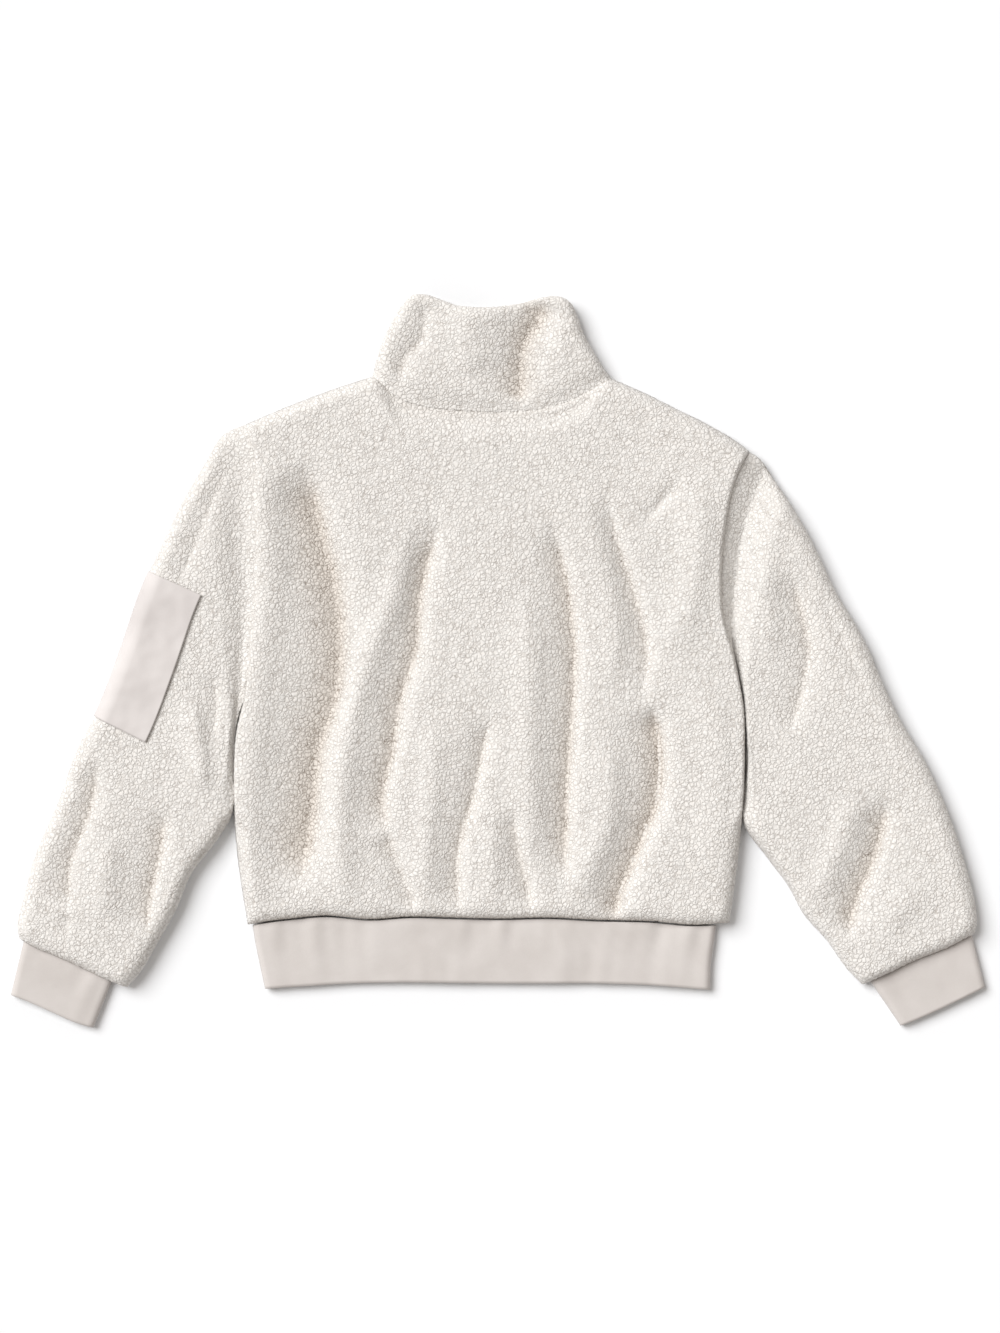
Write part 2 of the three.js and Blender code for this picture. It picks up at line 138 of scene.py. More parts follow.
def smooth(value: np.ndarray, low: float, high: float) -> np.ndarray:
    """A soft step from 0 at low to 1 at high."""
    share = np.clip((np.asarray(value, float) - low) / (high - low), 0.0, 1.0)
    return share * share * (3.0 - 2.0 * share)


def mix(first: np.ndarray, second: np.ndarray, share: np.ndarray) -> np.ndarray:
    """The value that lies a share of the way from the first to the second."""
    return first + (second - first) * share


class Curve:
    """A smooth curve through points, followed by its length from 0 to 1."""

    def __init__(self, points: Points, steps: int = 24) -> None:
        """Samples a centripetal Catmull-Rom curve.

        Args:
            points: the points that it passes, x and y.
            steps: how many samples each span gets.
        """
        known = np.asarray(points, float)
        ends = [2 * known[0] - known[1], 2 * known[-1] - known[-2]]
        p = np.vstack([ends[0], known, ends[1]])
        gap = np.sqrt(np.linalg.norm(np.diff(p, axis=0), axis=1))[:, None]
        a, b, c, d = p[:-3], p[1:-2], p[2:-1], p[3:]
        g0, g1, g2 = gap[:-2], gap[1:-1], gap[2:]
        start = ((b - a) / g0 - (c - a) / (g0 + g1) + (c - b) / g1) * g1
        stop = ((c - b) / g1 - (d - b) / (g1 + g2) + (d - c) / g2) * g1
        t = np.linspace(0, 1, steps, endpoint=False)[None, :, None]
        b, c, start, stop = (v[:, None, :] for v in (b, c, start, stop))
        cubic = b + start * t + (3 * (c - b) - 2 * start - stop) * t**2 + (2 * (b - c) + start + stop) * t**3
        self.samples = np.vstack([cubic.reshape(-1, 2), known[-1]])
        reach = np.concatenate([[0], np.cumsum(np.linalg.norm(np.diff(self.samples, axis=0), axis=1))])
        self.length = float(reach[-1])
        self._at = reach / reach[-1]

    def __call__(self, t: np.ndarray) -> np.ndarray:
        """The points at shares of the curve's length, with x and y in the last axis."""
        t = np.clip(np.asarray(t, float), 0, 1)
        return np.stack([np.interp(t, self._at, self.samples[:, i]) for i in (0, 1)], axis=-1)

    def part(self, start: float, stop: float, shift: tuple[float, float] = (0.0, 0.0)) -> Along:
        """The stretch of the curve between two shares of its length, moved by a shift."""
        return lambda t: self(mix(start, stop, np.asarray(t, float))) + np.asarray(shift)


class Plan:
    """The flat surface between four edges: near and far run along u, left and right along v."""

    def __init__(self, near: Along, far: Along, left: Along, right: Along) -> None:
        """Keeps the four edges and their shared corners."""
        self.near, self.far, self.left, self.right = near, far, left, right
        zero, one = np.zeros(1), np.ones(1)
        self.corners = [near(zero)[0], near(one)[0], far(zero)[0], far(one)[0]]

    def __call__(self, u: np.ndarray, v: np.ndarray) -> np.ndarray:
        """The points at u and v, which have one shape between them; x and y are in the last axis."""
        u, v = np.broadcast_arrays(np.asarray(u, float), np.asarray(v, float))
        su, sv = u[..., None], v[..., None]
        first, second, third, fourth = self.corners
        between = (1 - sv) * self.near(u) + sv * self.far(u) + (1 - su) * self.left(v) + su * self.right(v)
        return between - (
            (1 - su) * (1 - sv) * first + su * (1 - sv) * second + (1 - su) * sv * third + su * sv * fourth
        )


def hung(seam: Along, far: Points, left: Points, right: Points) -> Plan:
    """The outline of a piece that hangs from a seam.

    Args:
        seam: the seam, as its near edge.
        far: its far edge.
        left: its left side, after the seam's first end.
        right: its right side, after the seam's last end.

    Returns:
        The outline.
    """
    first, last = seam(np.array([0.0, 1.0]))
    return Plan(seam, Curve(far), Curve((tuple(first), *left)), Curve((tuple(last), *right)))


def gather(share: np.ndarray, power: float) -> np.ndarray:
    """Moves even shares from 0 to 1 a little towards the middle, by a power just over 1."""
    return 0.5 - 0.5 * np.sign(1 - 2 * share) * np.abs(1 - 2 * share) ** power


def random_of(cells: np.ndarray, channel: int) -> np.ndarray:
    """A repeatable random number from 0 to 1 for each whole-numbered cell, x, y and z in the last axis."""
    mask = np.int64(0xFFFFFFFF)
    n = cells[..., 0] * 73856093 ^ cells[..., 1] * 19349663 ^ cells[..., 2] * 83492791
    n = (n ^ np.int64(channel * 668265263 + 374761393)) & mask
    for _ in range(2):
        n = ((n ^ (n >> 15)) * 2246822519) & mask
        n = ((n ^ (n >> 13)) * 3266489917) & mask
    return ((n ^ (n >> 16)) & 0xFFFFFF) / float(0xFFFFFF)


def drift(points: np.ndarray, channel: int) -> np.ndarray:
    """Smooth noise from -1 to 1 at points given in units of its own grain."""
    cell = np.floor(points).astype(np.int64)
    local = points - cell
    local = local * local * (3 - 2 * local)
    total = np.zeros(points.shape[:-1])
    for corner in np.ndindex(2, 2, 2):
        weight = np.prod([local[..., i] if c else 1 - local[..., i] for i, c in enumerate(corner)], axis=0)
        total += weight * random_of(cell + np.asarray(corner), channel)
    return total * 2 - 1


# ---- Cloth: its pile, its folds and its shells ----
@dataclass(frozen=True)
class Pile:
    """The curled clumps of sherpa: how far apart they stand, and how high."""

    clump: float = 4.8
    height: float = 0.95
    curl: float = 0.62
    wander: float = 0.42

    def relief(self, points: np.ndarray) -> tuple[np.ndarray, np.ndarray]:
        """The pile's relief on a surface.

        Args:
            points: places on the bare surface, mm, with x, y and z in the last axis.

        Returns:
            The height of the pile at each place, mm, and its openness, from 0 down between clumps to 1 on a
            clump, by which the finish paints shade between them.
        """
        shape = points.shape[:-1]
        at = points.reshape(-1, 3) / self.clump
        at = at + self.wander * np.stack([drift(at * 0.9 + 7.1 * i, 11 + i) for i in range(3)], axis=-1)
        first, second = self._nearest(at, 1)
        dome = np.sqrt(np.clip(1.15 - first**2, 0, None))
        crease = smooth(second - first, 0.0, 0.28)
        fine, fine_next = self._nearest(at * 1.9 + 3.7, 2)
        curls = np.sqrt(np.clip(1.1 - fine**2, 0, None)) * (0.55 + 0.45 * smooth(fine_next - fine, 0.0, 0.25))
        tall = 0.82 + 0.3 * drift(points.reshape(-1, 3) / 23.0, 21)
        height = self.height * tall * (dome * (0.72 + 0.28 * crease) - 0.55 + self.curl * (curls - 0.62))
        openness = 0.62 * crease + 0.38 * smooth(fine_next - fine, 0.0, 0.3)
        return height.reshape(shape), np.clip(openness, 0, 1).reshape(shape)

    @staticmethod
    def _nearest(at: np.ndarray, channel: int) -> tuple[np.ndarray, np.ndarray]:
        """Distances to the nearest and the second nearest clump, in clumps, with clumps of uneven size."""
        cell = np.floor(at).astype(np.int64)
        first = np.full(len(at), 9.0)
        second = np.full(len(at), 9.0)
        for offset in np.ndindex(3, 3, 3):
            home = cell + (np.asarray(offset) - 1)
            shift = np.stack([random_of(home, channel * 9 + i) * 2 - 1 for i in range(3)], -1)
            spot = home + 0.5 + 0.46 * shift
            distance = np.linalg.norm(at - spot, axis=-1) * (0.86 + 0.28 * random_of(home, channel * 9 + 5))
            second = np.minimum(second, np.maximum(first, distance))
            first = np.minimum(first, distance)
        return first, second


@dataclass(frozen=True)
class Fold:
    """One ridge or trough: its middle line from top to hem, height, and width towards -X and +X, mm.

    A crease is sharp along its middle line, where a plain fold is round.
    """

    path: Points
    height: float
    left: float
    right: float
    fade: float = 50.0
    crease: bool = False

    def over(self, xy: np.ndarray) -> np.ndarray:
        """The height that the fold adds at places, x and y in the last axis."""
        line = Curve(self.path, 10).samples
        total = np.zeros(xy.shape[:-1])
        margin = 2.6 * max(self.left, self.right)
        near = np.all((xy > line.min(0) - margin) & (xy < line.max(0) + margin), axis=-1)
        if not near.any():
            return total
        at = xy[near]
        best = np.full(len(at), 1e9)
        side = np.zeros(len(at))
        along = np.zeros(len(at))
        walked = 0.0
        for start, stop in zip(line[:-1], line[1:]):
            span = stop - start
            size = float(np.linalg.norm(span))
            share = np.clip((at - start) @ span / size**2, 0, 1)
            away = at - (start + share[:, None] * span)
            distance = np.linalg.norm(away, axis=-1)
            closer = distance < best
            best = np.where(closer, distance, best)
            side = np.where(closer, span[0] * away[:, 1] - span[1] * away[:, 0], side)
            along = np.where(closer, walked + share * size, along)
            walked += size
        width = np.where(side > 0, self.right, self.left)
        ends = smooth(np.minimum(along, walked - along), -0.25 * self.fade, self.fade)
        total[near] = self.height * np.exp(-1.4 * (best / width) ** (1.25 if self.crease else 2.0)) * ends
        return total


def relief_of(folds: Sequence[Fold], xy: np.ndarray, grain: float = 80.0, depth: float = 0.8) -> np.ndarray:
    """The height of all folds at places, with a little slow unevenness of its own."""
    flat = np.concatenate([xy / grain, np.zeros(xy.shape[:-1] + (1,))], axis=-1)
    slow = drift(flat, 31) * depth + drift(flat * 2.3 + 5, 32) * depth * 0.5
    return slow + sum(fold.over(xy) for fold in folds)


def normals_of(grid: np.ndarray, closed_round: bool) -> np.ndarray:
    """Unit normals of a grid of points, rows by columns, from its two directions."""
    if closed_round:
        across = np.roll(grid, -1, axis=1) - np.roll(grid, 1, axis=1)
    else:
        across = np.gradient(grid, axis=1)
    along = np.gradient(grid, axis=0)
    normal = np.cross(across, along)
    return normal / np.maximum(np.linalg.norm(normal, axis=-1, keepdims=True), 1e-9)


class Shell:
    """A closed wall of cloth between a fine outer grid and an inner grid with every so many of its points."""

    def __init__(self, name: str, outer: np.ndarray, inner: np.ndarray, closed_round: bool) -> None:
        """Keeps the two grids, in mm, and how they are joined.

        Args:
            name: the piece's name.
            outer: the outer face's points, rows by columns.
            inner: the inner face's points at the same rows and columns.
            closed_round: whether the last column joins the first.
        """
        self.name = name
        self.outer = outer
        self.inner = inner[::STRIDE, ::STRIDE]
        self.closed_round = closed_round

    def _cells(self, rows: int, columns: int, start: int) -> np.ndarray:
        """Corner numbers of a grid's quads."""
        spans = columns if self.closed_round else columns - 1
        row, column = np.meshgrid(np.arange(rows - 1), np.arange(spans), indexing="ij")
        after = (column + 1) % columns
        here, below = row * columns, (row + 1) * columns
        corners = [here + column, here + after, below + after, below + column]
        return np.stack(corners, axis=-1).reshape(-1, 4) + start

    def _rims(self) -> list[tuple[np.ndarray, np.ndarray]]:
        """The open edges, each as its outer and inner corner numbers in order."""
        rows, columns = self.outer.shape[:2]
        few, less = self.inner.shape[:2]
        first = rows * columns
        wide = np.arange(columns + 1) % columns if self.closed_round else np.arange(columns)
        slim = np.arange(less + 1) % less if self.closed_round else np.arange(less)
        rims = [
            (wide, first + slim),
            ((rows - 1) * columns + wide[::-1], first + (few - 1) * less + slim[::-1]),
        ]
        if not self.closed_round:
            tall, short = np.arange(rows) * columns, first + np.arange(few) * less
            rims.append((tall[::-1], short[::-1]))
            rims.append((tall + columns - 1, short + less - 1))
        return rims

    def faces(self) -> list[tuple[int, ...]]:
        """All faces, wound so that they point out of the wall."""
        outer = self._cells(*self.outer.shape[:2], 0)
        inner = self._cells(*self.inner.shape[:2], self.outer.shape[0] * self.outer.shape[1])[:, ::-1]
        faces = outer.tolist() + inner.tolist()
        half = STRIDE // 2
        for wide, slim in self._rims():
            for i in range(len(slim) - 1):
                near, far = int(slim[i]), int(slim[i + 1])
                run = [int(n) for n in wide[i * STRIDE : (i + 1) * STRIDE + 1]]
                faces += [(run[j + 1], run[j], near if j < half else far) for j in range(STRIDE)]
                faces.append((near, far, run[half]))
        return faces

    def build(self, origin: np.ndarray, **marks: np.ndarray) -> bpy.types.Object:
        """Makes the piece, with smooth faces and an attribute for each mark.

        Args:
            origin: where the middle of the hem seam lies in the frame, metres.
            marks: values for each outer point that the finish reads by name.

        Returns:
            The piece, linked to the scene.
        """
        points = np.vstack([self.outer.reshape(-1, 3), self.inner.reshape(-1, 3)]) * MM + origin
        mesh = bpy.data.meshes.new(self.name)
        mesh.from_pydata(points.tolist(), [], self.faces())
        mesh.polygons.foreach_set("use_smooth", np.ones(len(mesh.polygons), bool))
        for name, values in marks.items():
            shade = np.full(len(points), 0.5, np.float32)
            shade[: values.size] = values.ravel()
            mesh.attributes.new(name, "FLOAT", "POINT").data.foreach_set("value", shade)
        mesh.update()
        piece = bpy.data.objects.new(self.name, mesh)
        bpy.context.scene.collection.objects.link(piece)
        return piece


def map_cloth(piece: bpy.types.Object, places: np.ndarray) -> None:
    """Gives a piece a UV map from a place for each of its points, metres along and across the cloth."""
    layer = piece.data.uv_layers.new(name="cloth")
    corners = np.zeros(len(piece.data.loops), np.int32)
    piece.data.loops.foreach_get("vertex_index", corners)
    layer.data.foreach_set("uv", places[corners].astype(np.float32).ravel())


# ---- Shader maths ----
class Graph:
    """A material's node tree, and the nodes that are added to it."""

    def __init__(self, name: str) -> None:
        """Makes a material of that name with only its output."""
        self.material = bpy.data.materials.new(name)
        self.material.use_nodes = True
        self.tree = self.material.node_tree
        self.tree.nodes.clear()

    def node(self, kind: str, settings: Optional[dict] = None, **inputs: Value) -> bpy.types.Node:
        """Adds a node.

        Args:
            kind: the node's type, such as ShaderNodeMath.
            settings: properties set before its sockets, such as an operation.
            inputs: values or links, by socket name with _ for a space, or i and a number for its place.

        Returns:
            The node.
        """
        made = self.tree.nodes.new(kind)
        for key, value in (settings or {}).items():
            setattr(made, key, value)
        for key, value in inputs.items():
            place = made.inputs[int(key[1:])] if key[1:].isdigit() else made.inputs[key.replace("_", " ")]
            if isinstance(value, Socket):
                self.tree.links.new(value.socket, place)
            else:
                place.default_value = value
        return made

    def value(
        self, kind: str, settings: Optional[dict] = None, out: Union[int, str] = 0, **inputs: Value
    ) -> "Socket":
        """Adds a node and returns one of its outputs, ready for maths."""
        return Socket(self, self.node(kind, settings, **inputs).outputs[out])

    def blend(self, share: Value, low: Value, high: Value) -> "Socket":
        """The colour that lies a share of the way from low to high."""
        return self.value("ShaderNodeMix", {"data_type": "RGBA"}, out=2, i0=share, i6=low, i7=high)

    def noise(self, place: "Socket", size: float, detail: float, out: str = "Fac") -> "Socket":
        """Noise whose largest grain has a size in metres."""
        return self.value("ShaderNodeTexNoise", out=out, Vector=place, Scale=1 / size, Detail=detail)

    def cells(self, place: "Socket", size: float, feature: str) -> "Socket":
        """A distance in a pattern of cells that have a size in metres."""
        settings = {"feature": feature, "voronoi_dimensions": "3D"}
        return self.value("ShaderNodeTexVoronoi", settings, out="Distance", Vector=place, Scale=1 / size)

    def bands(self, place: "Socket", direction: str, pitch: float, **inputs: Value) -> "Socket":
        """Even waves across a direction, with a pitch in metres that holds to about a hundredth."""
        settings = {"wave_type": "BANDS", "bands_direction": direction, "wave_profile": "SIN"}
        scale = 1 / (pitch * WAVE_TURN) * 2
        return self.value("ShaderNodeTexWave", settings, out="Fac", Vector=place, Scale=scale, **inputs)

    def finish(self, colour: "Socket", roughness: float, **inputs: Value) -> bpy.types.Material:
        """Ends the tree in one surface and returns the material."""
        kind = "ShaderNodeBsdfPrincipled"
        surface = self.value(kind, Base_Color=colour, Roughness=roughness, **inputs)
        self.node("ShaderNodeOutputMaterial", Surface=surface)
        return self.material


class Socket:
    """An output of a node, with arithmetic that adds the nodes it needs."""

    def __init__(self, graph: Graph, socket: bpy.types.NodeSocket) -> None:
        """Keeps the output and the graph that it is in."""
        self.graph = graph
        self.socket = socket

    def _math(self, operation: str, first: Value, second: Value) -> "Socket":
        return self.graph.value("ShaderNodeMath", {"operation": operation}, i0=first, i1=second)

    def __add__(self, other: Value) -> "Socket":
        """Adds."""
        return self._math("ADD", self, other)

    def __radd__(self, other: Value) -> "Socket":
        """Adds to a number."""
        return self._math("ADD", other, self)

    def __sub__(self, other: Value) -> "Socket":
        """Takes away."""
        return self._math("SUBTRACT", self, other)

    def __rsub__(self, other: Value) -> "Socket":
        """Takes from a number."""
        return self._math("SUBTRACT", other, self)

    def __mul__(self, other: Value) -> "Socket":
        """Multiplies."""
        return self._math("MULTIPLY", self, other)

    def __rmul__(self, other: Value) -> "Socket":
        """Multiplies a number."""
        return self._math("MULTIPLY", other, self)

    def step(self, low: float, high: float) -> "Socket":
        """A soft step from 0 at low to 1 at high."""
        settings = {"interpolation_type": "SMOOTHSTEP"}
        return self.graph.value("ShaderNodeMapRange", settings, Value=self, From_Min=low, From_Max=high)


def tint(red: int, green: int, blue: int) -> tuple[float, float, float, float]:
    """A display colour, each part from 0 to 255, as the linear colour that a shader takes."""
    parts = [c / 255 for c in (red, green, blue)]
    linear = [c / 12.92 if c <= 0.04045 else ((c + 0.055) / 1.055) ** 2.4 for c in parts]
    return (linear[0], linear[1], linear[2], 1.0)


# ---- Finishes ----
@dataclass(frozen=True)
class SherpaFinish:
    """Cream sherpa: pale curls, with shade painted warmer and darker down between them and down in the folds.
    """

    name: str = "sherpa"
    crest: tuple = tint(238, 236, 233)
    body: tuple = tint(230, 226, 221)
    # Painted shade: the warmer, darker colour for places deep in a fold.
    fold_shade: tuple = tint(224, 217, 209)
    # Painted shade: the colour of the lines between the curls.
    crevice_shade: tuple = tint(122, 106, 92)
    curl: float = 0.0040
    warp_grain: float = 0.0042
    warp_reach: float = 0.0052
    fibre_grain: float = 0.0012
    patch_grain: float = 0.009

    def make(self) -> bpy.types.Material:
        """Builds the material."""
        g = Graph(self.name)
        place = g.value("ShaderNodeTexCoord", out="Object")
        warp = g.noise(place, self.warp_grain, 2.0, out="Color")
        centred = g.value("ShaderNodeVectorMath", {"operation": "SUBTRACT"}, i0=warp, i1=(0.5, 0.5, 0.5))
        push = g.value("ShaderNodeVectorMath", {"operation": "SCALE"}, i0=centred, Scale=self.warp_reach)
        bent = g.value("ShaderNodeVectorMath", {"operation": "ADD"}, i0=place, i1=push)
        curls = g.cells(bent, self.curl, "F1")
        lines = g.cells(bent, self.curl, "DISTANCE_TO_EDGE")
        wide = g.cells(bent, 2.2 * self.curl, "DISTANCE_TO_EDGE")
        fibre = g.noise(place, self.fibre_grain, 2.0)
        patches = g.noise(place, self.patch_grain, 2.0)
        openness = g.value("ShaderNodeAttribute", {"attribute_name": "openness"}, out="Fac")
        fold_shade_mask = g.value("ShaderNodeAttribute", {"attribute_name": "fold_shade_mask"}, out="Fac")
        # Painted shade: the thin and broad lines between the curls take the dark crevice colour. They are
        # darker in random patches and darker still down in folds.
        thin = 1.0 - lines.step(0.0, 0.11)
        broad = 1.0 - wide.step(0.0, 0.05)
        line_shade = thin * (0.2 + patches.step(0.35, 0.65) * 0.3 + fold_shade_mask * 0.3)
        line_shade = line_shade + broad * (0.2 + fold_shade_mask * 0.16)
        # Painted shade: by openness, the curls' tops take the paler crest colour and the crevices between
        # them take the body colour. The fibre noise adds a random grain.
        pale = g.blend(openness.step(0.1, 0.8) * 0.6 + fibre * 0.4, self.body, self.crest)
        # Painted shade down in folds: the deeper a place lies, the more its colour turns to the warmer,
        # darker fold colour.
        shade = g.blend(fold_shade_mask, pale, self.fold_shade)
        colour = g.blend(line_shade.step(0.0, 1.15), shade, self.crevice_shade)
        height = (1.0 - curls * curls) * 0.5 + lines.step(0.0, 0.2) * 0.8 + fibre * 0.3
        bump = g.value("ShaderNodeBump", Strength=0.6, Distance=0.0015, Height=height)
        sheen = {"Sheen_Weight": 0.12, "Sheen_Roughness": 0.6}
        return g.finish(colour, 0.95, Normal=bump, Specular_IOR_Level=0.15, **sheen)


@dataclass(frozen=True)
class JerseyFinish:
    """Smooth double jersey in a slightly rosier beige, with fine wales along it."""

    name: str = "jersey"
    face: tuple = tint(215, 210, 207)
    deep: tuple = tint(198, 192, 188)
    wale: float = 0.0011
    fibre_grain: float = 0.0007
    cloud_grain: float = 0.035

    def make(self) -> bpy.types.Material:
        """Builds the material."""
        g = Graph(self.name)
        cloth = g.value("ShaderNodeUVMap", {"uv_map": "cloth"}, out="UV")
        place = g.value("ShaderNodeTexCoord", out="Object")
        ribs = g.bands(cloth, "X", self.wale, Distortion=0.6, Detail=1.0)
        fibre = g.noise(place, self.fibre_grain, 3.0)
        cloud = g.noise(place, self.cloud_grain, 3.0)
        # Darker between the wales is painted shade; the fibre and cloud noise mottle the colour at random.
        share = 0.35 + ribs * 0.3 + (fibre - 0.5) * 0.5 + (cloud - 0.5) * 0.9
        colour = g.blend(share.step(0.0, 1.0), self.deep, self.face)
        bump = g.value("ShaderNodeBump", Strength=0.3, Distance=0.0004, Height=ribs * 0.6 + fibre * 0.8)
        sheen = {"Sheen_Weight": 0.15, "Sheen_Roughness": 0.5}
        return g.finish(colour, 0.85, Normal=bump, Specular_IOR_Level=0.25, **sheen)


@dataclass(frozen=True)
class WovenFinish:
    """The patch's smooth plain weave."""

    name: str = "woven"
    face: tuple = tint(222, 217, 215)
    deep: tuple = tint(198, 192, 190)
    thread: float = 0.0007
    fine_grain: float = 0.001
    cloud_grain: float = 0.04

    def make(self) -> bpy.types.Material:
        """Builds the material."""
        g = Graph(self.name)
        cloth = g.value("ShaderNodeUVMap", {"uv_map": "cloth"}, out="UV")
        place = g.value("ShaderNodeTexCoord", out="Object")
        cloud = g.noise(place, self.cloud_grain, 2.0)
        fine = g.noise(place, self.fine_grain, 2.0)
        weave = g.bands(cloth, "X", self.thread) * g.bands(cloth, "Y", self.thread)
        # Darker between the threads is painted shade; the cloud and fine noise mottle the colour.
        share = 0.55 + (weave - 0.25) * 0.3 + (cloud - 0.5) * 1.0 + (fine - 0.5) * 0.2
        colour = g.blend(share.step(0.0, 1.0), self.deep, self.face)
        bump = g.value("ShaderNodeBump", Strength=0.25, Distance=0.0003, Height=weave + fine * 0.5)
        return g.finish(colour, 0.6, Normal=bump, Specular_IOR_Level=0.4, Sheen_Weight=0.1)


@dataclass(frozen=True)
class PlainFinish:
    """One even colour with a faint grain, for the table."""

    name: str
    face: tuple
    roughness: float = 0.8
    grain: float = 0.001
    depth: float = 0.06

    def make(self) -> bpy.types.Material:
        """Builds the material."""
        g = Graph(self.name)
        place = g.value("ShaderNodeTexCoord", out="Object")
        noise = g.noise(place, self.grain, 2.0)
        darker = tuple(c * (1 - self.depth) for c in self.face[:3]) + (1.0,)
        colour = g.blend(noise, darker, self.face)
        return g.finish(colour, self.roughness, Specular_IOR_Level=0.1)


# ---- The pullover's pieces ----
class Kind(Enum):
    """Which finish a piece takes."""

    SHERPA = "sherpa"
    JERSEY = "jersey"
    WOVEN = "woven"


@dataclass
class Workshop:
    """What every piece shares: the hem seam's place in the frame, the finishes and the pile."""

    origin: np.ndarray
    finishes: dict[Kind, bpy.types.Material]
    pile: Pile = field(default_factory=Pile)

    def declare(
        self, piece: bpy.types.Object, node: str, kind: Kind, flat: tuple[float, float], area: float
    ) -> None:
        """Dresses a piece and ties it to the frame.

        Args:
            piece: the finished piece.
            node: the solid that it stands for.
            kind: its finish.
            flat: the size of the cloth it was cut from, metres; not used.
            area: the flat area of the cut, square metres; not used.
        """
        piece.data.materials.append(self.finishes[kind])
        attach(piece, "root")
        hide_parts(node)
        LOG.info("%s: %d triangles", piece.name, sum(len(p.vertices) - 2 for p in piece.data.polygons))


def fleece(
    shop: Workshop, name: str, outer: np.ndarray, inner: np.ndarray, fold_shade_mask: np.ndarray, closed_round: bool
) -> bpy.types.Object:
    """Raises the pile on an outer face and makes the shell.

    Args:
        shop: the shared settings.
        name: the piece's name.
        outer: the bare outer face, mm.
        inner: the inner face, mm.
        fold_shade_mask: how deep each place lies in a fold, from 0 to 1.
        closed_round: whether the columns join up.

    Returns:
        The piece.
    """
    height, openness = shop.pile.relief(outer)
    normal = normals_of(outer, closed_round)
    raised = outer + normal * height[..., None]
    raised[..., 2] = np.maximum(raised[..., 2], 0.0)
    return Shell(name, raised, inner, closed_round).build(shop.origin, openness=openness, fold_shade_mask=fold_shade_mask)


